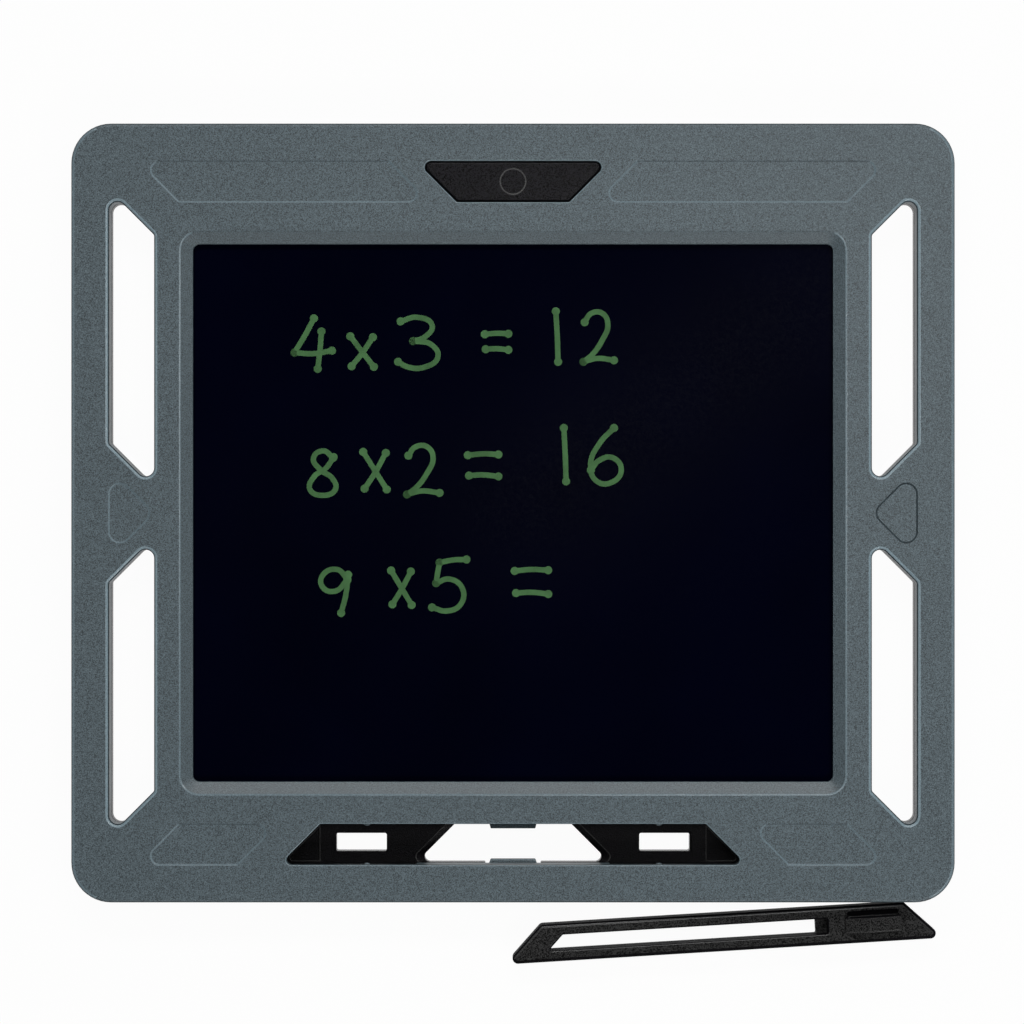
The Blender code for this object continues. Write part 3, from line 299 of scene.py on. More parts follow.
class TabletFinish(bpy.types.PropertyGroup):
    """Colours and grain of the finishes."""

    shell_grey: colour("Shell grey", "Moulded front shell", srgb(85, 98, 104))
    shell_black: colour("Shell black", "Moulded black of the back shell, button and stylus", srgb(17, 16, 20))
    film_dark: colour("Film", "Writing film", srgb(2, 3, 17))
    stroke_green: colour("Stroke", "Written strokes", srgb(73, 113, 71))
    screw_steel: colour("Screw steel", "Steel of the screws", srgb(150, 150, 154))
    shell_grain: length("Shell grain", "Size of the grey shell's moulded grain", 0.00024)
    black_grain: length("Black grain", "Size of the black shell's moulded grain", 0.00030)
    shell_roughness: factor("Shell roughness", "Roughness of the grey shell", 0.46)
    black_roughness: factor("Black roughness", "Roughness of the black shell", 0.28)
    bezel_roughness: factor("Bezel roughness", "Roughness of the smoother bezel slope", 0.38)
    edge_roughness: factor("Edge roughness", "Roughness of the rubbed edges", 0.22)
    # Painted highlights: how much lighter the black pieces' edges and the grey shell's edges are made
    black_highlight: FloatProperty(name="Black highlight", description="How much lighter the black pieces' edges are",
                              default=7.0, min=1.0)
    edge_highlight: FloatProperty(name="Edge highlight", description="How much lighter the grey shell's edges are",
                             default=1.9, min=1.0)
    film_roughness: factor("Film roughness", "Roughness of the film", 0.18)


class TabletStudio(bpy.types.PropertyGroup):
    """Camera, floor and lights."""

    camera_height: length("Camera height", "Height of the camera over the tablet's face", 0.86)
    floor_white: factor("Floor white", "Share of the floor's plain white, the rest takes shadow", 0.96)
    key_power: power("Key power", "Power of the light at the top", 6.6)
    fill_power: power("Fill power", "Power of the light at the bottom", 2.6)
    side_power: power("Side power", "Power of the light at the lower right", 1.9)
    strip_power: power("Strip power", "Power of the slim strip over the right half", 0.66)
    sky_level: factor("Sky level", "Level of the even light from around", 0.05)


# Outlines


def corner_mirror(corners, side_x, side_y):
    """Corners (x, y, radius) mirrored by the two signs, still running anticlockwise."""
    mirrored = [(x * side_x, y * side_y, radius) for x, y, radius in corners]
    return mirrored if side_x * side_y > 0 else mirrored[::-1]


def arc(before, here, after, radius, step):
    """Points of the round that replaces the corner at here."""
    way_in = (here - before).normalized()
    way_out = (after - here).normalized()
    turn = math.atan2(way_in.cross(way_out), way_in.dot(way_out))
    tangent = radius * math.tan(abs(turn) / 2)
    normal = Vector((way_in.y, -way_in.x)) * math.copysign(radius, turn)
    start = here - way_in * tangent
    centre = start - normal
    steps = max(1, math.ceil(abs(turn) / step))
    points = []
    for index in range(steps + 1):
        angle = turn * index / steps
        points.append((centre.x + normal.x * math.cos(angle) - normal.y * math.sin(angle),
                       centre.y + normal.x * math.sin(angle) + normal.y * math.cos(angle)))
    return points


def rounded(corners, grow=0.0):
    """Outline through anticlockwise corners (x, y, radius), rounded and grown outwards."""
    outline = []
    count = len(corners)
    for index, (x, y, radius) in enumerate(corners):
        here = Vector((x, y))
        before = Vector(corners[index - 1][:2])
        after = Vector(corners[(index + 1) % count][:2])
        way_in = (here - before).normalized()
        way_out = (after - here).normalized()
        normal_in = Vector((way_in.y, -way_in.x))
        normal_out = Vector((way_out.y, -way_out.x))
        vertex = here + (normal_in + normal_out) * (grow / (1 + normal_in.dot(normal_out)))
        bend = max((radius or SMALL) + math.copysign(grow, way_in.cross(way_out) * grow), TINY)
        outline += arc(vertex - way_in, vertex, vertex + way_out, bend, ARC_STEP)
    return outline


def grown(corners):
    """Function that gives the outline of some corners at any growth."""
    return lambda grow: rounded(corners, grow)


def round_at(x, y):
    """Function that gives a circle about a point, its radius being the growth."""
    def outline(radius):
        angles = [2 * math.pi * step / CIRCLE_STEPS for step in range(CIRCLE_STEPS)]
        return [(x + radius * math.cos(angle), y + radius * math.sin(angle)) for angle in angles]
    return outline


def rectangle(left, right, near, far, radius):
    """Corners of an upright rectangle."""
    return [(left, near, radius), (right, near, radius), (right, far, radius), (left, far, radius)]


def board_corners():
    """Outer outline of the tablet."""
    return rectangle(-HALF_WIDTH, HALF_WIDTH, -HALF_HEIGHT, HALF_HEIGHT, CORNER_RADIUS)


def screen_corners():
    """Visible part of the film."""
    return rectangle(-SCREEN_HALF[0], SCREEN_HALF[0], -SCREEN_HALF[1], SCREEN_HALF[1], SCREEN_CORNER)


def slot_corners(side_x, side_y):
    """One leaning hand slot."""
    slot = SLOT_OUT - SLOT_IN
    return corner_mirror([
        (SLOT_IN, SLOT_LOW, SLOT_ACUTE),
        (SLOT_OUT, SLOT_LOW + slot, SLOT_OBTUSE),
        (SLOT_OUT, SLOT_HIGH, SLOT_ACUTE),
        (SLOT_IN, SLOT_HIGH - slot, SLOT_OBTUSE),
    ], side_x, side_y)


def trapezoid(half, acute, side_y, lean=0.0):
    """Band-high trapezoid with slanted ends: half is its short side's half, lean moves its ends out."""
    corners = [
        (half + lean, BAND_IN, SMALL),
        (half + BAND + lean, BAND_OUT, acute),
        (-half - BAND - lean, BAND_OUT, acute),
        (-half - lean, BAND_IN, SMALL),
    ]
    return corner_mirror(corners, 1, side_y)


def panel_corners(side_x, side_y):
    """Slanted panel beside the button or beside the dock."""
    inner_in = PANEL_TOP_INNER if side_y > 0 else PANEL_BOTTOM_INNER
    return corner_mirror([
        (inner_in, BAND_IN, PANEL_RADIUS),
        (PANEL_OUTER - BAND, BAND_IN, SMALL),
        (PANEL_OUTER, BAND_OUT, PANEL_RADIUS),
        (inner_in + BAND, BAND_OUT, SMALL),
    ], side_x, side_y)


def triangle_corners(side_x):
    """Triangle between the two slots of a side."""
    slot = SLOT_OUT - SLOT_IN
    return corner_mirror([
        (SLOT_IN, 0.0, TRIANGLE_RADIUS),
        (SLOT_OUT, -slot, TRIANGLE_RADIUS),
        (SLOT_OUT, slot, TRIANGLE_RADIUS),
    ], side_x, 1)


# Meshes from stacked outlines


def soft(*points):
    """Profile through (growth, height, round) points, with its bends rounded."""
    path = []
    for index, (grow, height, radius) in enumerate(points):
        if radius and 0 < index < len(points) - 1:
            before = Vector(points[index - 1][:2])
            after = Vector(points[index + 1][:2])
            bend = arc(before, Vector((grow, height)), after, radius, PROFILE_STEP)
            for end, far in ((0, before), (-1, after)):
                close = Vector(bend[end])
                if (far - close).length > 8 * SUPPORT:
                    step = close + (far - close).normalized() * SUPPORT
                    bend.insert(0 if end == 0 else len(bend), step.to_tuple())
            path += bend
        else:
            path.append((grow, height))
    return path


def stack(outline, *points):
    """Rings of an outline along a soft profile."""
    return [(outline(grow), height) for grow, height in soft(*points)]


def brim(ease, height, grow=0.0, side=1):
    """Start of a profile: the flat beside a rim, then its round. Side is 1 for a hole, -1 for a body."""
    return (grow + side * (ease + SUPPORT), height, 0), (grow, height, ease)


def eased(low, high, ease):
    """Profile of a body from its lower to its upper face, with both edges rounded."""
    return (*brim(ease, low, side=-1), *brim(ease, high, side=-1)[::-1])


def foot(node):
    """Middle of a solid's box, at its lowest."""
    low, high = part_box(node)
    return (low.x + high.x) / 2, (low.y + high.y) / 2, low.z


def inside(points, loops):
    """Whether each point lies between the loops, by the even-odd rule."""
    starts = np.concatenate(loops)
    ends = np.concatenate([np.roll(loop, -1, axis=0) for loop in loops])
    rise = ends[:, 1] - starts[:, 1]
    rise[rise == 0] = 1e-12
    x, y = points[:, :1], points[:, 1:]
    crosses = (starts[:, 1] > y) != (ends[:, 1] > y)
    at = starts[:, 0] + (ends[:, 0] - starts[:, 0]) * (y - starts[:, 1]) / rise
    return np.count_nonzero(crosses & (x < at), axis=1) % 2 == 1


class Skin:
    """Closed mesh under making: walls through stacked outlines, and flat fills between their ends."""

    def __init__(self):
        self.mesh = bmesh.new()
        self.last = []

    def wall(self, rings):
        """Bands between (outline, height) rings. Gives the first and the last ring's vertices."""
        made = []
        self.last = []
        for outline, height in rings:
            made.append([self.mesh.verts.new((x, y, height)) for x, y in outline])
        for lower, upper in zip(made, made[1:]):
            for index in range(len(lower)):
                corners = (lower[index - 1], lower[index], upper[index], upper[index - 1])
                self.last.append(self.mesh.faces.new(corners))
        return made[0], made[-1]

    def fill(self, outer, holes=()):
        """Flat face inside a ring, around its holes."""
        loops = [outer, *holes]
        corners = [corner for loop in loops for corner in loop]
        edges = []
        for loop in loops:
            start = len(edges)
            edges += [(start + index, start + (index + 1) % len(loop)) for index in range(len(loop))]
        flat = [corner.co.to_2d() for corner in corners]
        _, _, faces, sources, _, _ = delaunay_2d_cdt(flat, edges, [], 0, 1e-8)
        picked = [[corners[sources[index][0]] for index in face] for face in faces]
        middles = np.array([np.mean([corner.co[:2] for corner in face], axis=0) for face in picked])
        bounds = [np.array([corner.co[:2] for corner in loop]) for loop in loops]
        for face, keep in zip(picked, inside(middles, bounds)):
            if keep:
                self.mesh.faces.new(face)

    def slab(self, rings):
        """Walls closed at both ends."""
        first, last = self.wall(rings)
        self.fill(first)
        self.fill(last)

    def sort(self, edge=0.75, dull=0.15):
        """Gives the painted highlight finish to the rounds near a flat face, and the painted shade finish to
        the steeper ones.
        """
        bmesh.ops.recalc_face_normals(self.mesh, faces=self.mesh.faces)
        for face in self.mesh.faces:
            lean = abs(face.normal.z)
            if edge < lean < LEVEL:
                face.material_index = PAINTED_HIGHLIGHT
            elif dull < lean <= edge:
                face.material_index = SHADED

    def done(self, name, matrix=None):
        """Object of the finished mesh, at the origin, with its hard edges sharp."""
        bmesh.ops.recalc_face_normals(self.mesh, faces=self.mesh.faces)
        if any(not edge.is_manifold for edge in self.mesh.edges):
            raise ValueError(f"{name} is not closed")
        data = bpy.data.meshes.new(name)
        self.mesh.to_mesh(data)
        self.mesh.free()
        if matrix:
            data.transform(matrix)
        return link(name, data)


def link(name, data):
    """Object in the scene, a mesh being shaded smooth between its hard edges."""
    item = bpy.data.objects.new(name, data)
    bpy.context.scene.collection.objects.link(item)
    if isinstance(data, bpy.types.Mesh):
        data.shade_smooth()
        data.set_sharp_from_angle(angle=SHARP_ANGLE)
    return item


def settle(item, materials, body, slot, *nodes):
    """Gives a piece its finishes and body and hides the solids that it stands for; the slot is not used."""
    for material in materials:
        item.data.materials.append(material)
    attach(item, body)
    if nodes:
        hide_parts(*nodes)


# Finishes


class Graph:
    """Node tree under making."""

    def __init__(self, tree):
        self.tree = tree

    def feed(self, target, value):
        """Sets an input, or links it where the value is an output."""
        if isinstance(value, bpy.types.NodeSocket):
            self.tree.links.new(value, target)
        else:
            target.default_value = value

    def node(self, kind, **values):
        """New node with some of its inputs fed, by name."""
        made = self.tree.nodes.new(kind)
        for name, value in values.items():
            self.feed(made.inputs[name.replace("_", " ")], value)
        return made

    def maths(self, operation, *values):
        """Result of a sum on values or outputs."""
        made = self.node("ShaderNodeMath")
        made.operation = operation
        for target, value in zip(made.inputs, values):
            self.feed(target, value)
        return made.outputs["Value"]

    def vector(self, x=0.0, y=0.0, z=0.0):
        """Three values or outputs as one."""
        return self.node("ShaderNodeCombineXYZ", X=x, Y=y, Z=z).outputs["Vector"]

    def tint(self, share, dark, light, start=0.3, end=0.7):
        """Colour between two, by a share."""
        made = self.node("ShaderNodeValToRGB", Fac=share)
        for stop, position, tone in zip(made.color_ramp.elements, (start, end), (dark, light)):
            stop.position = position
            stop.color = (*tone, 1.0)
        return made.outputs["Color"]


class Finish(Graph):
    """Node material under making."""

    def __init__(self, name):
        self.material = bpy.data.materials.new(name)
        self.material.use_nodes = True
        super().__init__(self.material.node_tree)
        self.place = self.node("ShaderNodeTexCoord").outputs["Object"]

    def moved(self, shift, stretch=(1.0, 1.0, 1.0)):
        """Moves the patterns that follow, and stretches them."""
        mapping = self.node("ShaderNodeMapping", Vector=self.place, Location=shift, Scale=stretch)
        self.place = mapping.outputs["Vector"]

    def noise(self, size, detail=2.0):
        """Noise with features of a size in metres, as a share from 0 to 1."""
        made = self.node("ShaderNodeTexNoise", Vector=self.place, Scale=1 / size, Detail=detail,
                         Roughness=0.55)
        return made.outputs["Fac"]

    def cells(self, size):
        """Distance to the nearest of scattered points, for a pebbled grain."""
        return self.node("ShaderNodeTexVoronoi", Vector=self.place, Scale=1 / size).outputs["Distance"]

    def span(self, share, low, high):
        """Middle of a share stretched to low..high."""
        made = self.node("ShaderNodeMapRange", Value=share, From_Min=0.3, From_Max=0.7,
                         To_Min=low, To_Max=high)
        return made.outputs["Result"]

    def times(self, first, second):
        """Two colours multiplied."""
        made = self.node("ShaderNodeMix")
        made.data_type = "RGBA"
        made.blend_type = "MULTIPLY"
        for index, value in ((0, 1.0), (6, first), (7, second)):
            self.feed(made.inputs[index], value)
        return made.outputs[2]

    def bump(self, height, relief, strength, **under):
        """Relief in metres from a share, over another relief where there is one."""
        made = self.node("ShaderNodeBump", Height=height, Distance=relief, Strength=strength, **under)
        return made.outputs["Normal"]

    def wire(self, **values):
        """Constants and links on the shader's own sockets, by name."""
        shader = self.tree.nodes["Principled BSDF"]
        for name, value in values.items():
            self.feed(shader.inputs[name.replace("_", " ")], value)
        return self.material


def scaled(base, share):
    """Colour made darker or lighter by a share."""
    return tuple(min(1.0, channel * share) for channel in base)


def moulded(name, base, spread, bite, grain, relief, roughness, specular):
    """Moulded plastic with an eroded grain: mottled colour, pebbled relief and uneven gloss.

    The grain's pattern is centred between the face and the recessed panels, so both show it alike.
    """
    finish = Finish(name)
    finish.moved((0.0, 0.0, PANEL_DEPTH / 2 - FACE))
    fine = finish.noise(grain, 1.0)
    mottle = finish.tint(fine, scaled(base, 1 - spread), scaled(base, 1 + spread), 0.5 - bite, 0.5 + bite)
    drift = finish.tint(finish.noise(0.030), (0.95, 0.95, 0.95), (1.0, 1.0, 1.0))
    pebble = finish.bump(finish.cells(grain * 1.1), relief, 0.5)
    return finish.wire(Base_Color=finish.times(mottle, drift),
                       Roughness=finish.span(fine, roughness - 0.06, roughness + 0.08),
                       Normal=finish.bump(fine, relief, 0.8, Normal=pebble), Specular_IOR_Level=specular)


def film_finish(base, roughness):
    """Dark writing film: deep blue black, faint cloudiness and a fine matt surface."""
    finish = Finish("film_finish")
    return finish.wire(Base_Color=finish.tint(finish.noise(0.040), scaled(base, 0.85), scaled(base, 1.15)),
                       Roughness=finish.span(finish.noise(0.0012), roughness - 0.04, roughness + 0.05),
                       Normal=finish.bump(finish.noise(0.00025), 0.000004, 0.4), Specular_IOR_Level=0.004)


def stroke_finish(base):
    """Written stroke: green that is brighter where the stylus pressed harder."""
    finish = Finish("stroke_finish")
    press = finish.noise(0.0045, 3.0)
    return finish.wire(Base_Color=finish.tint(press, scaled(base, 0.80), scaled(base, 1.22)),
                       Roughness=finish.span(press, 0.42, 0.56),
                       Normal=finish.bump(finish.noise(0.0004), 0.000006, 0.5), Specular_IOR_Level=0.08)


def metal_finish(name, base, roughness, stretch):
    """Worked metal: fine drawn marks along one way, uneven gloss."""
    finish = Finish(name)
    finish.moved((0.0, 0.0, 0.0), stretch)
    marks = finish.noise(0.0004, 3.0)
    return finish.wire(Base_Color=finish.tint(marks, scaled(base, 0.85), scaled(base, 1.10)),
                       Roughness=finish.span(marks, roughness - 0.08, roughness + 0.10),
                       Normal=finish.bump(marks, 0.000010, 0.5), Metallic=1.0)


def plain_finish(name, base, spread, grain, roughness):
    """Finish of a piece inside the case: fine uneven colour, gloss and relief."""
    finish = Finish(name)
    fine = finish.noise(grain, 3.0)
    return finish.wire(Base_Color=finish.tint(fine, scaled(base, 1 - spread), scaled(base, 1 + spread)),
                       Roughness=finish.span(fine, roughness - 0.06, roughness + 0.06),
                       Normal=finish.bump(fine, grain * 0.04, 0.6))


def plastic(name):
    """Finish of a moulded piece, made when its name is first asked for."""
    made = bpy.data.materials.get(name)
    if made:
        return made
    look = bpy.context.scene.tablet_finish
    grey, black = look.shell_grey, look.shell_black
    # Grey of the black's mean, the base of the black pieces' painted highlights and of the stylus' own
    # lighter tone
    neutral_black = [sum(black) / 3] * 3
    highlit = look.edge_roughness
    # Colour, share of it, spread and bite of its mottle, relief, roughness and specular level
    greys = {
        "grey_shell_finish": (grey, 1.0, 0.80, 0.22, 0.00002, look.shell_roughness, 0.5),
        # Painted light: the edges and the slot rims are lighter copies of the grey as painted highlights, the
        # steeper rounds a darker copy as painted shade, and the bezel slope a smoother grey darkened as
        # painted shade
        "edge_finish": (grey, look.edge_highlight, 0.20, 0.20, 0.00001, highlit, 0.5),
        "dull_finish": (grey, 0.50, 0.60, 0.20, 0.00003, 0.75, 0.1),
        "bezel_finish": (grey, 0.92, 0.60, 0.20, 0.00001, look.bezel_roughness, 0.5),
        "rim_finish": (grey, 1.4 * look.edge_highlight, 0.20, 0.20, 0.00001, highlit, 0.5),
    }
    blacks = {
        "black_shell_finish": (black, 1.0, 0.95, 0.06, 0.00008, look.black_roughness, 0.15),
        # Painted light: the edges and the button's ring are lighter as painted highlights; the rounds and
        # gaps, and the dock's wells, are darker as painted shade
        "black_edge_finish": (neutral_black, look.black_highlight, 0.30, 0.20, 0.00001, highlit, 0.4),
        "black_deep_finish": (black, 0.60, 0.60, 0.15, 0.00004, 0.6, 0.05),
        "stylus_finish": (neutral_black, 3.8, 0.80, 0.10, 0.00006, look.black_roughness, 0.15),
        "ring_finish": (neutral_black, 2.4 * look.black_highlight, 0.30, 0.20, 0.00001, highlit, 0.4),
        "well_finish": (black, 0.50, 0.95, 0.06, 0.00010, 0.40, 0.10),
    }
    base, share, spread, bite, relief, roughness, specular = (greys | blacks)[name]
    grain = look.shell_grain if name in greys else look.black_grain
    return moulded(name, scaled(base, share), spread, bite, grain, relief, roughness, specular)


def grey_finishes():
    """Front shell: its face, the painted highlight on its edges, the painted shade on the rounds below them,
    the bezel slope with painted shade and the slot rims' brighter painted highlight.
    """
    return [plastic(f"{part}_finish") for part in ("grey_shell", "edge", "dull", "bezel", "rim")]


def black_finishes(face="black_shell", edge="black_edge"):
    """Black pieces: their faces, the painted highlight on their edges, and the painted shade on rounds and
    gaps.
    """
    return [plastic(f"{part}_finish") for part in (face, edge, "black_deep")]


def screw_steel():
    """Finish of the screws."""
    made = bpy.data.materials.get("screw_steel_finish")
    if made:
        return made
    steel = bpy.context.scene.tablet_finish.screw_steel
    return metal_finish("screw_steel_finish", steel, 0.34, (1.0, 1.0, 0.2))


# Geometry Nodes


class Tree(Graph):
    """Geometry Nodes tree under making, with named inputs."""

    def __init__(self, name, **sizes):
        super().__init__(bpy.data.node_groups.new(name, "GeometryNodeTree"))
        face = self.tree.interface
        for way in ("INPUT", "OUTPUT"):
            face.new_socket("Geometry", in_out=way, socket_type="NodeSocketGeometry")
        self.values = {}
        for label, value in sizes.items():
            kind = "NodeSocketInt" if isinstance(value, int) else "NodeSocketFloat"
            socket = face.new_socket(label.replace("_", " "), in_out="INPUT", socket_type=kind)
            self.values[socket.identifier] = value
        self.given = self.node("NodeGroupInput").outputs

    def moved(self, geometry, **values):
        """Geometry moved, turned or scaled."""
        return self.node("GeometryNodeTransform", Geometry=geometry, **values).outputs["Geometry"]

    def cylinder(self, sides, bottom, top, depth):
        """Upright cylinder or cone that stands on the origin."""
        return self.node("GeometryNodeMeshCone", Vertices=sides, Radius_Bottom=bottom, Radius_Top=top,
                         Depth=depth).outputs["Mesh"]

    def merged(self, operation, first, others):
        """Solids united, or the others cut from the first."""
        made = self.node("GeometryNodeMeshBoolean")
        made.operation = operation
        if first is not None:
            self.feed(made.inputs[0], first)
        for other in others:
            self.feed(made.inputs[1], other)
        return made.outputs["Mesh"]

    def joined(self, *geometries):
        """Several geometries as one."""
        made = self.node("GeometryNodeJoinGeometry")
        for geometry in geometries:
            self.feed(made.inputs["Geometry"], geometry)
        return made.outputs["Geometry"]

    def bake(self, source, name, geometry, material):
        """Ends the tree, runs it on an object and gives the plain mesh object that comes out."""
        real = self.node("GeometryNodeRealizeInstances", Geometry=geometry)
        painted = self.node("GeometryNodeSetMaterial", Geometry=real.outputs["Geometry"], Material=material)
        self.node("NodeGroupOutput", Geometry=painted.outputs["Geometry"])
        modifier = source.modifiers.new(name, "NODES")
        modifier.node_group = self.tree
        for identifier, value in self.values.items():
            modifier[identifier] = value
        graph = bpy.context.evaluated_depsgraph_get()
        data = bpy.data.meshes.new_from_object(source.evaluated_get(graph), depsgraph=graph)
        source.modifiers.remove(modifier)
        bpy.data.objects.remove(source)
        if not data.polygons:
            raise ValueError(f"{name} came out empty")
        data.name = name
        return link(name, data)


def points_object(name, points):
    """Loose points for instances."""
    data = bpy.data.meshes.new(name)
    data.from_pydata(points, [], [])
    return link(name, data)


def screws(name, points, head, shank, seed):
    """Cross-headed screws at points, heads towards the back, each turned its own way."""
    tree = Tree(name + "_tree", Head_Radius=head[0], Head_Height=head[1], Shank_Radius=shank[0],
                Shank_Length=shank[1], Drive_Width=DRIVE_WIDTH, Seed=seed)
    radius, height = tree.given["Head Radius"], tree.given["Head Height"]
    crown_height = tree.maths("MULTIPLY", height, CROWN_HEIGHT)
    crown = tree.cylinder(40, tree.maths("MULTIPLY", radius, CROWN_RADIUS), radius, crown_height)
    rim = tree.cylinder(40, radius, radius, tree.maths("SUBTRACT", height, crown_height))
    solid = tree.merged("UNION", None, [crown, tree.moved(rim, Translation=tree.vector(z=crown_height))])
    bar_size = tree.vector(tree.maths("MULTIPLY", radius, DRIVE_LENGTH), tree.given["Drive Width"],
                           tree.maths("MULTIPLY", height, DRIVE_DEPTH))
    bar = tree.node("GeometryNodeMeshCube", Size=bar_size).outputs["Mesh"]
    cross = [tree.moved(bar, Rotation=(0.0, 0.0, turn)) for turn in (0.0, math.pi / 2)]
    shank_radius = tree.given["Shank Radius"]
    rod = tree.cylinder(24, shank_radius, shank_radius, tree.given["Shank Length"])
    screw = tree.joined(tree.merged("DIFFERENCE", solid, cross),
                        tree.moved(rod, Translation=tree.vector(z=height)))
    turn = tree.node("FunctionNodeRandomValue", Seed=tree.given["Seed"])
    turn.data_type = "FLOAT"
    turn.inputs[3].default_value = math.pi / 2
    placed = tree.node("GeometryNodeInstanceOnPoints", Points=tree.given["Geometry"], Instance=screw,
                       Rotation=tree.vector(z=turn.outputs[1]))
    source = points_object(name + "_points", points)
    return tree.bake(source, name, placed.outputs["Instances"], screw_steel())


# Pieces


def front_shell(sizes):
    """Front shell: rounded rim, slots, bezel slope, button and dock openings and recessed panels."""
    skin = Skin()
    lip = sizes.lip_round
    outer, roof = skin.wall(stack(
        grown(board_corners()), *brim(sizes.edge_round, FACE, side=-1), (0, FRONT_LOW, lip),
        (-SHELL_WALL, FRONT_LOW, 0), (-SHELL_WALL, CEILING, 0)))
    outer_faces = skin.last
    rims = []
    slot_faces = []
    for sides in SIDES:
        rims.append(skin.wall(stack(
            grown(slot_corners(*sides)), *brim(sizes.slot_round, FACE), (0, FRONT_LOW, lip),
            (COLLAR_WALL, FRONT_LOW, 0), (COLLAR_WALL, CEILING, 0))))
        slot_faces += skin.last
    bezel = sizes.bezel_round
    rims.append(skin.wall(stack(
        grown(screen_corners()), (BEZEL_SLOPE + bezel, FACE, 0), (BEZEL_SLOPE, FACE, bezel),
        (0, FACE - BEZEL_DROP, sizes.bezel_lip), (0, CEILING, 0))))
    for corners, ease in ((trapezoid(DOCK_HALF, DOCK_CORNER, -1), sizes.dock_round),
                          (trapezoid(BUTTON_HALF, BUTTON_CORNER, 1), sizes.opening_round)):
        rims.append(skin.wall(stack(grown(corners), *brim(ease, FACE), (0, CEILING, 0))))
    recesses = []
    slopes = []
    half = sizes.panel_slope / 2
    hollows = [panel_corners(*sides) for sides in SIDES] + [triangle_corners(side_x) for side_x in (-1, 1)]
    for corners in hollows:
        start, floor = skin.wall(stack(
            grown(corners), (3 * half, FACE, 0), (half, FACE, half), (-half, FACE - PANEL_DEPTH, half),
            (-3 * half, FACE - PANEL_DEPTH, 0)))
        recesses.append(start)
        slopes += skin.last
        skin.fill(floor)
    skin.fill(outer, [rim[0] for rim in rims] + recesses)
    skin.fill(roof, [rim[1] for rim in rims])
    skin.sort()
    # Painted light on the recessed edges by which way they face: on the side triangles a painted highlight at
    # the left and painted shade at the right; on the panels a painted highlight, except on edges that face -Y
    for face in slopes:
        middle = face.calc_center_median()
        if face.normal.z > LEVEL:
            continue
        if abs(middle.y) < 2 * BAND:
            face.material_index = PAINTED_HIGHLIGHT if middle.x < 0 else SHADED
        else:
            face.material_index = PLAIN if face.normal.y < -FACING * face.normal.xy.length else PAINTED_HIGHLIGHT
    # The outer rounds keep their painted highlight only where they face the sides, not +Y or -Y
    for face in outer_faces:
        if face.material_index == PAINTED_HIGHLIGHT and abs(face.normal.y) > FACING * face.normal.xy.length:
            face.material_index = PLAIN
    # The slot rims' rounds take the brighter painted highlight
    for face in slot_faces:
        if face.material_index == PAINTED_HIGHLIGHT:
            face.material_index = RIM
    # The bezel slope, and the rounds over it that face -Y, take the bezel finish: smoother, with painted
    # shade
    slope = math.cos(math.atan2(BEZEL_DROP, BEZEL_SLOPE))
    reach = [half + BEZEL_SLOPE + bezel for half in SCREEN_HALF]
    for face in skin.mesh.faces:
        middle = face.calc_center_median()
        if abs(middle.x) < reach[0] and abs(middle.y) < reach[1]:
            upper = face.material_index == PAINTED_HIGHLIGHT and face.normal.y < -FACING * face.normal.xy.length
            if upper or abs(face.normal.z - slope) < 0.01:
                face.material_index = BEZEL
    return skin.done("front_frame_shell")


def depths(wall_y, side_y, first, second):
    """Near and far y of what runs between two depths in a wall that faces against side_y."""
    return sorted((wall_y + side_y * first, wall_y + side_y * second))


def dock_bars(sizes):
    """Walls that the front shell hangs over the dock's window, with a support tab on each."""
    skin = Skin()
    inset = 0.00002
    for side_y, wall_y, half, stand in ((1, -BAND_IN, WINDOW_HALF, UPPER_TAB),
                                        (-1, -BAND_OUT, WINDOW_HALF + BAND, LOWER_TAB)):
        bar = rectangle(-half, half, *depths(wall_y, side_y, inset, COLLAR_WALL), SMALL)
        skin.slab(stack(grown(bar), *brim(sizes.lip_round, FRONT_LOW, side=-1), (0, CEILING + GAP, 0)))
        near, far = depths(wall_y, side_y, -stand, COLLAR_WALL - GAP)
        near_half, far_half = (TAB_HALF - TAB_TAPER, TAB_HALF)[::side_y]
        tab = [(-near_half, near, SMALL), (near_half, near, SMALL),
               (far_half, far, SMALL), (-far_half, far, SMALL)]
        skin.slab(stack(grown(tab), *eased(TAB_LOW, PARTING, TAB_ROUND)))
        half = TAB_HALF - TAB_ROOT
        root = rectangle(-half, half, *depths(wall_y, side_y, TAB_ROOT, COLLAR_WALL - GAP - HAIR), SMALL)
        skin.slab(stack(grown(root), (0, ROOT_LOW, 0), (0, ROOT_HIGH, 0)))
    skin.sort()
    # Faces of the upper tab and the other upper faces below the front shell take painted shade
    for face in skin.mesh.faces:
        middle = face.calc_center_median()
        if middle.z < FRONT_LOW and middle.y > -BAND_MIDDLE:
            face.material_index = SHADED
    return skin.done("dock_bars")


def detent_nubs():
    """Four small nubs on the dock's rim that hold the stylus."""
    points = [(side_x * NUB_X, wall_y, NUB_LEVEL) for side_x in (-1, 1)
              for wall_y in (-BAND_IN + NUB_SET, -BAND_OUT - NUB_SET)]
    tree = Tree("detent_nub_tree", Nub_Radius=0.0012, Nub_Height=0.0010)
    radius = tree.given["Nub Radius"]
    ball = tree.node("GeometryNodeMeshUVSphere", Segments=32, Rings=16, Radius=radius)
    squash = tree.maths("DIVIDE", tree.given["Nub Height"], tree.maths("MULTIPLY", radius, 2.0))
    placed = tree.node("GeometryNodeInstanceOnPoints", Points=tree.given["Geometry"],
                       Instance=ball.outputs["Mesh"], Scale=tree.vector(1.0, 1.0, squash))
    return tree.bake(points_object("detent_points", points), "detent_nubs", placed.outputs["Instances"],
                     plastic("grey_shell_finish"))


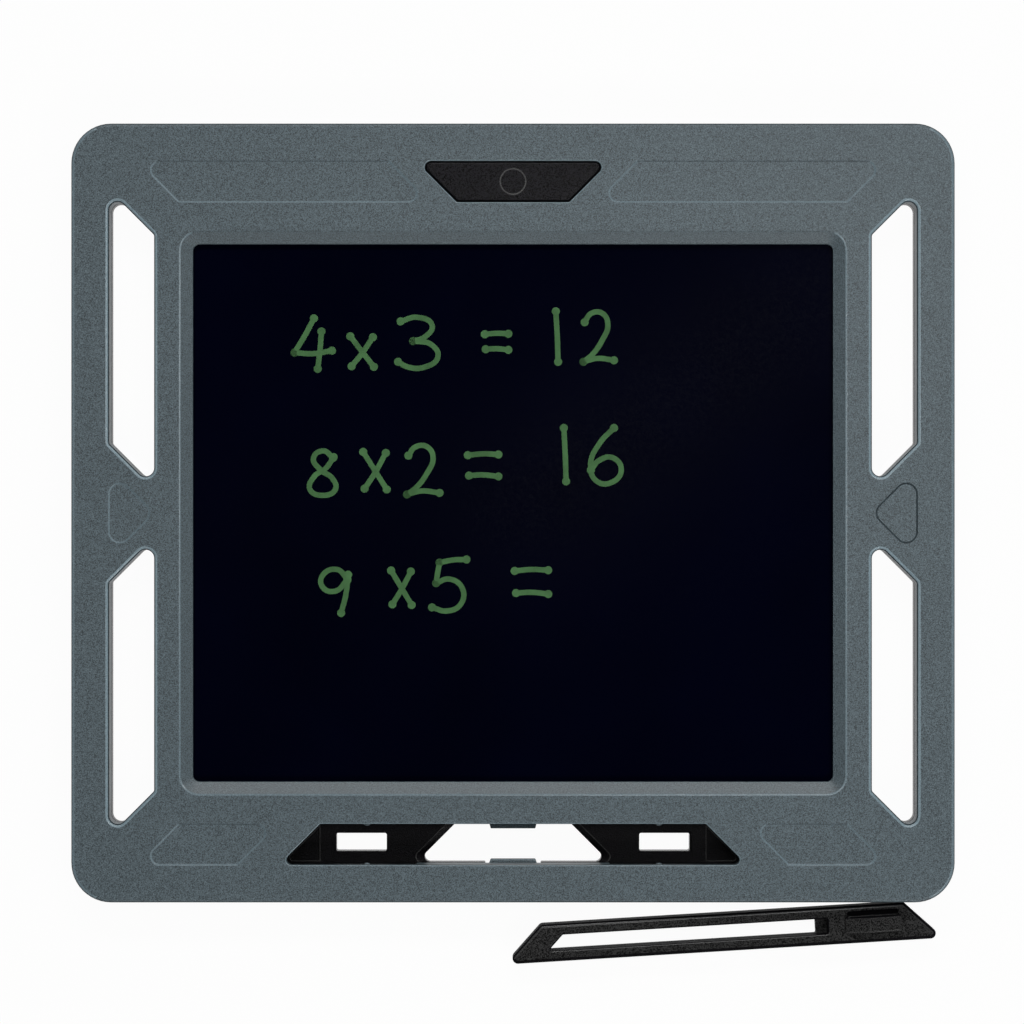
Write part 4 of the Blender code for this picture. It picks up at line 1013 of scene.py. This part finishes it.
def window_corners(lean=0.0):
    """Window between the dock's wells, with the notches that clear the tabs."""
    top = WINDOW_HALF + lean
    bottom = WINDOW_HALF + BAND + lean
    notch = NOTCH_HALF
    reach = COLLAR_WALL + GAP
    return [
        (-bottom, -BAND_OUT, WINDOW_CORNER), (-notch, -BAND_OUT, SMALL), (-notch, -BAND_OUT - reach, SMALL),
        (notch, -BAND_OUT - reach, SMALL), (notch, -BAND_OUT, SMALL), (bottom, -BAND_OUT, WINDOW_CORNER),
        (top, -BAND_IN, SMALL), (notch, -BAND_IN, SMALL), (notch, -BAND_IN + reach, SMALL),
        (-notch, -BAND_IN + reach, SMALL), (-notch, -BAND_IN, SMALL), (-top, -BAND_IN, SMALL),
    ]


def door_corners():
    """Outline of the battery door."""
    return rectangle(DOOR_LOW.x, DOOR_HIGH.x, DOOR_LOW.y, DOOR_HIGH.y, DOOR_CORNER)


def back_shell(sizes):
    """Back shell: rounded rim, slots, screw wells, battery bay and the dock's floor with its holes."""
    skin = Skin()
    lip = sizes.lip_round
    outer, floor = skin.wall(stack(
        grown(board_corners()), *brim(sizes.edge_round, 0, side=-1), (0, PARTING, lip),
        (-SHELL_WALL, PARTING, 0), (-SHELL_WALL, FLOOR, 0)))
    under = []
    standing = []

    def pillar(outline, *points):
        """Wall of a hole that goes through the floor, with its boss or collar."""
        start, end = skin.wall(stack(outline, *points))
        under.append(start)
        standing.append(end)

    for sides in SIDES:
        pillar(grown(slot_corners(*sides)), *brim(sizes.rim_round, 0), (0, PARTING, lip),
               (COLLAR_WALL, PARTING, 0), (COLLAR_WALL, FLOOR, 0))
    for node in CASE_SCREWS:
        pillar(round_at(*foot(node)[:2]), *brim(SMALL, 0, CASE_WELL), (CASE_WELL, CASE_WELL_DEPTH, 0),
               (CASE_HOLE, CASE_WELL_DEPTH, 0), (CASE_HOLE, PARTING, 0), (CASE_BOSS, PARTING, 0),
               (CASE_BOSS, FLOOR, 0))

    start, ledge_out = skin.wall(stack(grown(door_corners()), *brim(SMALL, 0, GAP), (GAP, DOOR_LEDGE, 0)))
    under.append(start)
    mouth = round_at(*foot("coin_cell")[:2])
    ledge_in, bay_in = skin.wall(stack(mouth, (BAY_MOUTH, DOOR_LEDGE, 0), (BAY_MOUTH, BAY_HIGH, 0)))
    skin.fill(ledge_out, [ledge_in])
    bay = rectangle(DOOR_LOW.x - BAY_MARGIN, DOOR_HIGH.x + BAY_MARGIN, DOOR_LOW.y - BAY_MARGIN,
                    HALF_HEIGHT - BAY_TOP_MARGIN, DOOR_CORNER)
    bay_out, end = skin.wall(stack(grown(bay), (0, BAY_HIGH, 0), (0, FLOOR, 0)))
    skin.fill(bay_out, [bay_in])
    standing.append(end)

    window = stack(grown(window_corners()), *brim(SMALL, 0), (0, PARTING - WINDOW_CHAMFER_DEPTH, 0))
    for lean in (WINDOW_CHAMFER, WINDOW_CHAMFER + PAINTED_HIGHLIGHT_LINE):
        window.append((rounded(window_corners(lean * math.sqrt(2))), PARTING))
    start, window_top = skin.wall(window)
    under.append(start)
    island_holes = [window_top]
    for side_x in (-1, 1):
        centre = side_x * HOLE_X
        hole = rectangle(centre - HOLE_HALF[0], centre + HOLE_HALF[0],
                         -BAND_MIDDLE - HOLE_HALF[1], -BAND_MIDDLE + HOLE_HALF[1], HOLE_CORNER)
        start, end = skin.wall(stack(
            grown(hole), *brim(SMALL, 0), (0, PARTING - HOLE_CHAMFER, 0), (HOLE_CHAMFER, PARTING, 0)))
        under.append(start)
        island_holes.append(end)
        relief = corner_mirror([
            (DOCK_HALF, BAND_IN, SMALL),
            (DOCK_HALF + BAND, BAND_OUT, DOCK_CORNER),
            (DOCK_HALF, BAND_OUT, SMALL),
        ], side_x, -1)
        start, end = skin.wall(stack(
            grown(relief), (-RELIEF_INSET + PAINTED_HIGHLIGHT_LINE, PARTING, 0), (-RELIEF_INSET, PARTING, 0),
            (-RELIEF_INSET - HAIR, PARTING - RELIEF_DEPTH, 0)))
        island_holes.append(start)
        skin.fill(end)
    island, end = skin.wall(stack(
        grown(trapezoid(DOCK_HALF, DOCK_CORNER, -1)), (ISLAND_WALL, PARTING, 0), (ISLAND_WALL, FLOOR, 0)))
    skin.fill(island, island_holes)
    standing.append(end)
    skin.fill(outer, under)
    skin.fill(floor, standing)
    for side_x in (-1, 1):
        skin.slab(stack(grown(tray_corners(side_x)), (0, PARTING - TRAY_SUNK, 0),
                        (0, TRAY_HIGH, TRAY_ROUND), (-2 * TRAY_ROUND, TRAY_HIGH, 0)))

    skin.sort()
    # In the dock, faces near the parting take the wells' painted shade, and the narrow flat strips round the
    # window and the reliefs a painted highlight line
    for face in skin.mesh.faces:
        middle = face.calc_center_median()
        if middle.z > PARTING - WELL_SHOWN and -BAND_OUT - COLLAR_WALL < middle.y < -BAND_IN + COLLAR_WALL:
            narrow = min(edge.calc_length() for edge in face.edges) < 1.5 * PAINTED_HIGHLIGHT_LINE
            lined = narrow and face.normal.z > LEVEL and len(face.verts) == 4
            face.material_index = PAINTED_HIGHLIGHT if lined else WELL
    return skin.done("back_cover_shell")


def tray_corners(side_x):
    """Wall round one well of the dock, open towards the window."""
    wall = COLLAR_WALL
    slant = wall * math.sqrt(2)
    top = WINDOW_HALF + (wall + 2 * GAP) * math.sqrt(2)
    bottom = WINDOW_HALF + BAND + 2 * GAP
    corners = [
        (top, BAND_IN - wall, SMALL),
        (DOCK_HALF + slant - wall, BAND_IN - wall, SMALL),
        (DOCK_HALF + BAND + slant + wall, BAND_OUT + wall, DOCK_CORNER + wall),
        (bottom, BAND_OUT + wall, SMALL),
        (bottom, BAND_OUT, SMALL),
        (DOCK_HALF + BAND, BAND_OUT, DOCK_CORNER),
        (DOCK_HALF, BAND_IN, SMALL),
        (top, BAND_IN, SMALL),
    ]
    return corner_mirror(corners, side_x, -1)


def film_sheet():
    """Writing film with eased edges."""
    skin = Skin()
    corners = rectangle(FILM_LOW.x, FILM_HIGH.x, FILM_LOW.y, FILM_HIGH.y, SCREEN_CORNER)
    skin.slab(stack(grown(corners), *eased(FILM_LOW.z, FILM_HIGH.z, HAIR)))
    return skin.done("writing_film_sheet")


# Strokes of each sign in a unit box, from its lower left corner
SIGNS = {
    "1": [[(0.30, 1.00), (0.48, 0.52), (0.60, 0.00)]],
    "2": [[(0.04, 0.80), (0.26, 0.98), (0.62, 0.98), (0.80, 0.76), (0.60, 0.42), (0.28, 0.14), (0.00, 0.00)],
          [(0.00, 0.00), (0.46, 0.07), (1.00, 0.03)]],
    "3": [[(0.06, 0.92), (0.46, 1.00), (0.82, 0.84), (0.64, 0.61), (0.36, 0.53)],
          [(0.36, 0.53), (0.80, 0.46), (0.96, 0.22), (0.62, 0.01), (0.22, 0.02), (0.00, 0.12)]],
    "4": [[(0.52, 1.00), (0.28, 0.66), (0.00, 0.32)], [(0.00, 0.32), (0.50, 0.30), (1.00, 0.36)],
          [(0.72, 0.74), (0.68, 0.36), (0.62, 0.00)]],
    "5": [[(0.22, 0.94), (0.16, 0.72), (0.12, 0.54)],
          [(0.12, 0.54), (0.50, 0.62), (0.88, 0.44), (0.82, 0.12), (0.42, 0.00), (0.00, 0.07)],
          [(0.22, 0.94), (0.60, 0.99), (1.00, 1.00)]],
    "6": [[(0.74, 1.00), (0.32, 0.72), (0.06, 0.34), (0.24, 0.04), (0.68, 0.02), (0.95, 0.24), (0.72, 0.46),
           (0.32, 0.42), (0.07, 0.24)]],
    "8": [[(0.84, 0.84), (0.52, 1.00), (0.20, 0.84), (0.42, 0.58), (0.82, 0.38), (0.92, 0.14), (0.50, 0.00),
           (0.08, 0.14), (0.22, 0.42), (0.62, 0.62), (0.86, 0.86)]],
    "9": [[(0.84, 0.78), (0.54, 1.00), (0.12, 0.86), (0.12, 0.60), (0.48, 0.50), (0.84, 0.76)],
          [(0.86, 0.88), (0.80, 0.44), (0.66, 0.00)]],
    "times": [[(0.00, 1.00), (0.46, 0.54), (1.00, 0.00)], [(0.96, 0.97), (0.50, 0.44), (0.06, 0.02)]],
    "equals": [[(0.00, 0.94), (0.50, 1.00), (1.00, 0.97)], [(0.04, 0.04), (0.50, 0.07), (1.00, 0.00)]],
}

# Three sums, each sign with its left, top, right and bottom in the photograph's pixels
SUMS = [
    ("4", 291, 315, 334, 371), ("times", 347, 333, 376, 369), ("3", 395, 314, 442, 370),
    ("equals", 482, 330, 511, 352), ("1", 551, 308, 564, 364), ("2", 581, 309, 617, 364),
    ("8", 304, 448, 340, 498), ("times", 360, 449, 389, 492), ("2", 404, 443, 442, 497),
    ("equals", 465, 451, 501, 479), ("1", 559, 425, 572, 484), ("6", 586, 425, 626, 486),
    ("9", 315, 567, 355, 616), ("times", 388, 568, 414, 608), ("5", 429, 557, 469, 614),
    ("equals", 512, 567, 551, 597),
]

# Least and most pressure on a stroke, as shares of its width
PRESS = (0.90, 1.08)


def handwriting(sizes, look):
    """Three sums written on the film, each stroke a flat bead with a dot at both ends."""
    data = bpy.data.curves.new("written_lines", "CURVE")
    data.dimensions = "3D"
    half = sizes.stroke_width / 2
    for sign, left, top, right, bottom in SUMS:
        x_low, x_high = (left - FACE_MIDDLE) * PIXEL + half, (right - FACE_MIDDLE) * PIXEL - half
        y_low, y_high = (FACE_MIDDLE - bottom) * PIXEL + half, (FACE_MIDDLE - top) * PIXEL - half
        for points in SIGNS[sign]:
            spline = data.splines.new("BEZIER")
            spline.bezier_points.add(len(points) - 1)
            for target, (x, y) in zip(spline.bezier_points, points):
                target.co = (x_low + (x_high - x_low) * x, y_low + (y_high - y_low) * y, FILM_HIGH.z)
                target.handle_left_type = target.handle_right_type = "AUTO"

    tree = Tree("handwriting_tree", Stroke_Width=sizes.stroke_width, Stroke_Rise=sizes.stroke_rise,
                Dot_Width=sizes.stroke_dot)
    path = tree.node("GeometryNodeResampleCurve", Curve=tree.given["Geometry"])
    path.mode = "LENGTH"
    path.inputs["Length"].default_value = STROKE_STEP
    upright = tree.node("GeometryNodeSetCurveNormal", Curve=path.outputs["Curve"])
    upright.mode = "Z_UP"
    waver = tree.node("ShaderNodeTexNoise", Scale=160.0, Detail=1.0)
    press = tree.node("ShaderNodeMapRange", Value=waver.outputs["Fac"], From_Min=0.3, From_Max=0.7,
                      To_Min=PRESS[0], To_Max=PRESS[1])
    pressed = tree.node("GeometryNodeSetCurveRadius", Curve=upright.outputs["Curve"],
                        Radius=press.outputs["Result"]).outputs["Curve"]
    rise = tree.given["Stroke Rise"]
    ring = tree.node("GeometryNodeCurvePrimitiveCircle", Resolution=20, Radius=1.0)
    bead = tree.moved(ring.outputs["Curve"],
                      Scale=tree.vector(tree.maths("MULTIPLY", tree.given["Stroke Width"], 0.5), rise, 1.0))
    stroke = tree.node("GeometryNodeCurveToMesh", Curve=pressed, Profile_Curve=bead, Fill_Caps=True)
    ends = tree.node("GeometryNodeCurveEndpointSelection")
    ball = tree.node("GeometryNodeMeshUVSphere", Segments=32, Rings=12, Radius=1.0)
    dot = tree.maths("MULTIPLY", tree.given["Dot Width"], 0.5)
    dot_size = tree.vector(dot, dot, tree.maths("MULTIPLY", rise, 1.2))
    dots = tree.node("GeometryNodeInstanceOnPoints", Points=pressed, Selection=ends.outputs["Selection"],
                     Instance=ball.outputs["Mesh"], Scale=dot_size)
    made = tree.joined(stroke.outputs["Mesh"], dots.outputs["Instances"])
    return tree.bake(link("written_lines", data), "handwriting", made, stroke_finish(look.stroke_green))


def button_cap(sizes):
    """Erase button: rounded cap with a fine ring, the flange that keeps it in, press post and guide pegs."""
    skin = Skin()
    top = BUTTON_HIGH
    rim, ceiling = skin.wall(stack(
        grown(trapezoid(BUTTON_HALF, BUTTON_CORNER, 1)), *brim(sizes.button_round, top, -GAP, -1),
        (-GAP, FLANGE_HIGH, 0), (FLANGE_REACH, FLANGE_HIGH, 0), (FLANGE_REACH, FLANGE_LOW, 0),
        (-BUTTON_WALL, FLANGE_LOW, 0), (-BUTTON_WALL, BUTTON_HOLLOW, 0)))
    wide = sizes.ring_radius + sizes.ring_width / 2
    slim = sizes.ring_radius - sizes.ring_width / 2
    depth = top - sizes.ring_depth
    ease, slant, flat = 0.00006, 0.00008, 0.00012
    ring_out, ring_in = skin.wall(stack(
        round_at(0.0, BAND_MIDDLE), (wide + flat, top, 0), (wide, top, ease), (wide - slant, depth, ease),
        (slim + slant, depth, ease), (slim, top, ease), (slim - flat, top, 0)))
    skin.fill(rim, [ring_out])
    skin.fill(ring_in)
    feet = []
    for x, radius, low in BUTTON_FEET:
        start, end = skin.wall(stack(
            round_at(x, BAND_MIDDLE), (radius, BUTTON_HOLLOW, 0), (radius, low, HAIR),
            (radius - SMALL, low, 0)))
        feet.append(start)
        skin.fill(end)
    skin.fill(ceiling, feet)
    # The ring's groove takes a painted highlight, and the faces below the top's round, the gap's sides among
    # them, take painted shade
    for face in skin.mesh.faces:
        middle = face.calc_center_median()
        from_ring = math.hypot(middle.x, middle.y - BAND_MIDDLE)
        if from_ring < wide and top - 2 * sizes.ring_depth < middle.z < top - TINY:
            face.material_index = PAINTED_HIGHLIGHT
        elif middle.z < top - 0.3 * sizes.button_round:
            face.material_index = SHADED
    return skin.done("erase_button_cap")


def stylus_corners():
    """Outline of the stylus."""
    return [(-STYLUS_LONG, -STYLUS_HALF, STYLUS_CORNER), (STYLUS_LONG, -STYLUS_HALF, STYLUS_CORNER),
            (STYLUS_SHORT, STYLUS_HALF, STYLUS_CORNER), (-STYLUS_SHORT, STYLUS_HALF, STYLUS_CORNER)]


def stylus_place():
    """Turn and place of the stylus, from its solid's box."""
    turn = Matrix.Rotation(STYLUS_TURN, 4, "Z")
    turned = [turn @ Vector((x, y, 0.0)) for x, y in rounded(stylus_corners())]
    middle = [(min(way) + max(way)) / 2 for way in zip(*turned)]
    return Matrix.Translation(Vector(foot("stylus")) - Vector(middle)) @ turn


def eye_corners(end):
    """Outline of the stylus' long window, up to an end."""
    return [(EYE_LONG, -EYE_HALF, EYE_CORNER), (end, -EYE_HALF, EYE_CORNER),
            (end, EYE_HALF, EYE_CORNER), (EYE_SHORT, EYE_HALF, EYE_CORNER)]


def stylus_body(sizes):
    """Stylus: rounded bar with its long window, the pocket at its end and the groove beside the plug."""
    skin = Skin()
    thick = STYLUS_THICK
    step = thick - POCKET_DEPTH
    under, over = skin.wall(stack(grown(stylus_corners()), *eased(0, thick, sizes.stylus_round)))
    hole_low, ledge_in = skin.wall(stack(grown(eye_corners(EYE_END)), *brim(EYE_ROUND, 0), (0, step, 0)))
    ledge_out, hole_high = skin.wall(stack(
        grown(eye_corners(POCKET_END)), (POCKET_SPARE, step, 0), *brim(EYE_ROUND, thick, POCKET_SPARE)[::-1]))
    groove_low, groove_high = skin.wall(stack(
        grown(rectangle(*GROOVE, EYE_CORNER)), (0, thick - GROOVE_DEPTH, 0),
        *brim(GROOVE_ROUND, thick)[::-1]))
    skin.fill(groove_low)
    skin.fill(ledge_out, [ledge_in])
    skin.fill(under, [hole_low])
    skin.fill(over, [hole_high, groove_high])
    # Rounds near the flat faces take a painted highlight and all steeper faces painted shade; then only
    # rounds that face +Y and not +X keep the painted highlight, and the others and the groove's floor take
    # painted shade
    skin.sort(0.80, -1.0)
    deep = set(groove_low)
    for face in skin.mesh.faces:
        lit = face.normal.y > TINY and face.normal.x < 0.2
        if deep.issuperset(face.verts) or face.material_index == PAINTED_HIGHLIGHT and not lit:
            face.material_index = SHADED
    return skin.done("stylus_body", stylus_place())


def stylus_plug():
    """Raised two-faced plug on the stylus, standing in its face."""
    corners = [(x, STYLUS_THICK + rise, radius) for x, rise, radius in PLUG_SIDE]
    skin = Skin()
    skin.slab(stack(grown(corners), *eased(-PLUG_HALF, PLUG_HALF, PLUG_ROUND)))
    bmesh.ops.recalc_face_normals(skin.mesh, faces=skin.mesh.faces)
    # Faces that end up towards +Y take painted shade, and the narrow strips along the plug's top take a
    # painted highlight
    for face in skin.mesh.faces:
        narrow = min(edge.calc_length() for edge in face.edges) < 2 * SUPPORT
        if face.normal.z < -0.10:
            face.material_index = SHADED
        elif narrow and face.normal.y > 0.94:
            face.material_index = PAINTED_HIGHLIGHT
    return skin.done("stylus_plug", stylus_place() @ Matrix.Rotation(math.pi / 2, 4, "X"))


def door_panel():
    """Battery door with eased edges and the well of its screw."""
    skin = Skin()
    high = DOOR_HIGH.z
    under, over = skin.wall(stack(
        grown(door_corners()), *brim(SMALL, 0, side=-1), (0, high, HAIR), (-SMALL - SUPPORT, high, 0)))
    well_low, well_high = skin.wall(stack(
        round_at(*foot("door_screw")[:2]), *brim(DOOR_WELL_ROUND, 0, DOOR_WELL),
        (DOOR_WELL, DOOR_WELL_DEPTH, 0), (DOOR_HOLE, DOOR_WELL_DEPTH, 0), (DOOR_HOLE, high, 0)))
    skin.fill(under, [well_low])
    skin.fill(over, [well_high])
    # Rounds near the flat faces take a painted highlight, steeper ones painted shade
    skin.sort()
    return skin.done("battery_door_panel")


# Studio


def white_share(graph, *rays):
    """1 for the named kinds of ray, 0 for the others."""
    path = graph.node("ShaderNodeLightPath")
    share = path.outputs[rays[0]]
    for ray in rays[1:]:
        share = graph.maths("MAXIMUM", share, path.outputs[ray])
    return share


def lead_out(graph, end, share, first, second):
    """Leads a mix of two shaders to the tree's end."""
    mixed = graph.node("ShaderNodeMixShader")
    for target, value in zip(mixed.inputs, (share, first, second)):
        graph.feed(target, value)
    graph.node(end, Surface=mixed.outputs["Shader"])


def floor_finish(studio):
    """White floor: plain white where it is seen or mirrored, with a share that takes shadow."""
    material = bpy.data.materials.new("floor_finish")
    material.use_nodes = True
    graph = Graph(material.node_tree)
    graph.tree.nodes.clear()
    matt = graph.node("ShaderNodeBsdfDiffuse", Color=(0.86, 0.86, 0.86, 1.0))
    glow = graph.node("ShaderNodeEmission", Color=(1.0, 1.0, 1.0, 1.0), Strength=1.0)
    seen = white_share(graph, "Is Camera Ray", "Is Glossy Ray", "Is Transmission Ray")
    lead_out(graph, "ShaderNodeOutputMaterial", graph.maths("MULTIPLY", seen, studio.floor_white),
             matt.outputs["BSDF"], glow.outputs["Emission"])
    return material


def sky(studio):
    """Even light from around, dark overhead, and white where it is seen straight on."""
    world = bpy.data.worlds.new("studio_world")
    bpy.context.scene.world = world
    world.use_nodes = True
    graph = Graph(world.node_tree)
    graph.tree.nodes.clear()
    way = graph.node("ShaderNodeNewGeometry")
    split = graph.node("ShaderNodeSeparateXYZ", Vector=way.outputs["Normal"])
    level = studio.sky_level
    tone = graph.tint(graph.maths("ABSOLUTE", split.outputs["Z"]), (2.4 * level, 2.4 * level, 2.45 * level),
                      (0.02, 0.02, 0.02), 0.0, 0.92)
    around = graph.node("ShaderNodeBackground", Color=tone)
    white = graph.node("ShaderNodeBackground", Color=(1.0, 1.0, 1.0, 1.0))
    lead_out(graph, "ShaderNodeOutputWorld", white_share(graph, "Is Camera Ray", "Is Transmission Ray"),
             around.outputs["Background"], white.outputs["Background"])


def area_light(name, place, width, depth, power):
    """Soft light that faces the tablet's middle."""
    data = bpy.data.lights.new(name, "AREA")
    data.shape = "RECTANGLE"
    data.size = width
    data.size_y = depth
    data.energy = power
    lamp = link(name, data)
    lamp.location = place
    lamp.rotation_euler = (Vector((0.0, 0.0, FACE)) - Vector(place)).to_track_quat("-Z", "Y").to_euler()


def camera(studio):
    """Camera straight over the tablet, as in the photograph."""
    data = bpy.data.cameras.new("camera")
    data.sensor_width = 36.0
    data.lens = data.sensor_width * studio.camera_height / (FRAME_PIXELS * PIXEL)
    data.clip_start = 0.01
    item = link("camera", data)
    offset = (FACE_MIDDLE - FRAME_PIXELS / 2) * PIXEL
    item.location = (-offset, offset, FACE + studio.camera_height)
    bpy.context.scene.camera = item


# Pieces inside the case: their finish's name, colour, spread of the colour, grain and roughness
INNER = {
    "film_tape": ("tape", (0.60, 0.58, 0.52), 0.06, 0.0020, 0.70),
    "backer_plate": ("backer", (0.32, 0.33, 0.34), 0.05, 0.0030, 0.60),
    "circuit_board": ("board", (0.02, 0.13, 0.05), 0.15, 0.0012, 0.40),
    "switch_body": ("switch", (0.02, 0.02, 0.02), 0.15, 0.0004, 0.45),
    "switch_plunger": ("plunger", (0.75, 0.75, 0.72), 0.04, 0.0004, 0.45),
    "driver_chip": ("chip", (0.015, 0.015, 0.016), 0.15, 0.0003, 0.55),
    "boost_inductor": ("ferrite", (0.09, 0.09, 0.10), 0.12, 0.0003, 0.70),
    "flex_tail": ("flex", (0.42, 0.18, 0.03), 0.10, 0.0006, 0.35),
    "flex_connector": ("connector", (0.72, 0.69, 0.60), 0.04, 0.0005, 0.50),
}


# Operators


class FrontFrame(bpy.types.Operator):
    """Make the grey front shell with its dock walls, tabs and nubs"""

    bl_idname = "tablet.front_frame"
    bl_label = "Front frame"

    def execute(self, context):
        sizes = context.scene.tablet_sizes
        finishes = grey_finishes()
        settle(front_shell(sizes), finishes, "tablet", "grey_shell", "front_frame")
        settle(dock_bars(sizes), finishes[:3], "tablet", "grey_shell")
        settle(detent_nubs(), [], "tablet", "grey_shell")
        return {"FINISHED"}


class BackCover(bpy.types.Operator):
    """Make the black back shell and the battery door"""

    bl_idname = "tablet.back_cover"
    bl_label = "Back cover"

    def execute(self, context):
        finishes = black_finishes()
        shell = back_shell(context.scene.tablet_sizes)
        settle(shell, finishes + [plastic("well_finish")], "tablet", "black_shell", "back_cover")
        settle(door_panel(), finishes, "tablet", "black_shell", "battery_door")
        return {"FINISHED"}


class WritingFilm(bpy.types.Operator):
    """Make the writing film and the sums written on it"""

    bl_idname = "tablet.writing_film"
    bl_label = "Writing film"

    def execute(self, context):
        look = context.scene.tablet_finish
        dark = film_finish(look.film_dark, look.film_roughness)
        settle(film_sheet(), [dark], "tablet", "film", "writing_film")
        settle(handwriting(context.scene.tablet_sizes, look), [], "tablet", "film")
        return {"FINISHED"}


class EraseButton(bpy.types.Operator):
    """Make the erase button"""

    bl_idname = "tablet.erase_button"
    bl_label = "Erase button"

    def execute(self, context):
        cap = button_cap(context.scene.tablet_sizes)
        settle(cap, black_finishes(edge="ring"), "erase_button", "black_shell", "erase_button")
        return {"FINISHED"}


class Stylus(bpy.types.Operator):
    """Make the stylus and its plug"""

    bl_idname = "tablet.stylus"
    bl_label = "Stylus"

    def execute(self, context):
        finishes = black_finishes(face="stylus")
        settle(stylus_body(context.scene.tablet_sizes), finishes, "stylus", "black_shell", "stylus")
        settle(stylus_plug(), finishes, "stylus", "black_shell")
        return {"FINISHED"}


class Screws(bpy.types.Operator):
    """Make the case screws and the door screw"""

    bl_idname = "tablet.screws"
    bl_label = "Screws"

    def execute(self, context):
        seed = context.scene.tablet_sizes.screw_seed
        case = screws("case_screws", [foot(node) for node in CASE_SCREWS], CASE_HEAD, CASE_SHANK, seed)
        settle(case, [], "tablet", "screw_steel", *CASE_SCREWS)
        door = screws("door_screws", [foot("door_screw")], DOOR_HEAD, DOOR_SHANK, seed + 1)
        settle(door, [], "tablet", "screw_steel", "door_screw")
        return {"FINISHED"}


class InnerParts(bpy.types.Operator):
    """Finish the solids inside the case"""

    bl_idname = "tablet.inner_parts"
    bl_label = "Inner parts"

    def execute(self, context):
        steel = metal_finish("cell_steel_finish", (0.60, 0.61, 0.63), 0.26, (6.0, 1.0, 1.0))
        finishes = {node: plain_finish(f"{name}_finish", *row) for node, (name, *row) in INNER.items()}
        finishes |= dict.fromkeys(("coin_cell", "cell_contact", "cell_clip"), steel)
        ceramic = plain_finish("ceramic_finish", (0.45, 0.33, 0.20), 0.10, 0.0003, 0.50)
        for index in range(3):
            finishes[f"capacitor_{index + 1}"] = ceramic
            finishes[f"board_screw_{index + 1}"] = screw_steel()
        for node, material in finishes.items():
            for slot in frame["nodes"][node].material_slots:
                slot.material = material
        return {"FINISHED"}


class Stage(bpy.types.Operator):
    """Make the floor, the lights and the camera"""

    bl_idname = "tablet.stage"
    bl_label = "Stage"

    def execute(self, context):
        studio = context.scene.tablet_studio
        context.scene.view_settings.view_transform = "Standard"
        reach, drop = 6.0, -0.0001
        data = bpy.data.meshes.new("floor")
        corners = [(-reach, -reach, drop), (reach, -reach, drop), (reach, reach, drop), (-reach, reach, drop)]
        data.from_pydata(corners, [], [(0, 1, 2, 3)])
        floor = link("floor", data)
        data.materials.append(floor_finish(studio))
        sky(studio)
        area_light("key_light", (0.00, 0.80, 0.85), 1.1, 0.22, studio.key_power)
        area_light("fill_light", (0.00, -0.90, 0.85), 1.1, 0.30, studio.fill_power)
        area_light("side_light", (0.45, -0.55, 0.60), 0.5, 0.20, studio.side_power)
        area_light("right_strip", (0.14, 0.10, 0.60), 0.05, 0.4, studio.strip_power)
        area_light("left_strip", (-0.32, 0.00, 0.86), 0.04, 0.6, studio.strip_power * LEFT_SHARE)
        camera(studio)
        return {"FINISHED"}


class TabletPanel(bpy.types.Panel):
    """Sidebar panel with every step of the tablet"""

    bl_idname = "VIEW3D_PT_writing_tablet"
    bl_label = "Writing Tablet"
    bl_space_type = "VIEW_3D"
    bl_region_type = "UI"
    bl_category = "Tablet"

    def draw(self, context):
        for step in STEPS:
            self.layout.operator(step.bl_idname)
        for group in ("tablet_sizes", "tablet_finish", "tablet_studio"):
            box = self.layout.box()
            values = getattr(context.scene, group)
            for name in values.bl_rna.properties.keys():
                if name not in ("rna_type", "name"):
                    box.prop(values, name)


STEPS = (FrontFrame, BackCover, WritingFilm, EraseButton, Stylus, Screws, InnerParts, Stage)
GROUPS = (TabletSizes, TabletFinish, TabletStudio)


def register():
    """Register the property groups, operators and panel."""
    for item in GROUPS + STEPS + (TabletPanel,):
        bpy.utils.register_class(item)
    bpy.types.Scene.tablet_sizes = PointerProperty(type=TabletSizes)
    bpy.types.Scene.tablet_finish = PointerProperty(type=TabletFinish)
    bpy.types.Scene.tablet_studio = PointerProperty(type=TabletStudio)


def unregister():
    """Take back what register added."""
    del bpy.types.Scene.tablet_studio
    del bpy.types.Scene.tablet_finish
    del bpy.types.Scene.tablet_sizes
    for item in reversed(GROUPS + STEPS + (TabletPanel,)):
        bpy.utils.unregister_class(item)


def main():
    """Make every piece and the stage."""
    register()
    bpy.ops.tablet.front_frame()
    bpy.ops.tablet.back_cover()
    bpy.ops.tablet.writing_film()
    bpy.ops.tablet.erase_button()
    bpy.ops.tablet.stylus()
    bpy.ops.tablet.screws()
    bpy.ops.tablet.inner_parts()
    bpy.ops.tablet.stage()


if __name__ == "__main__":
    main()
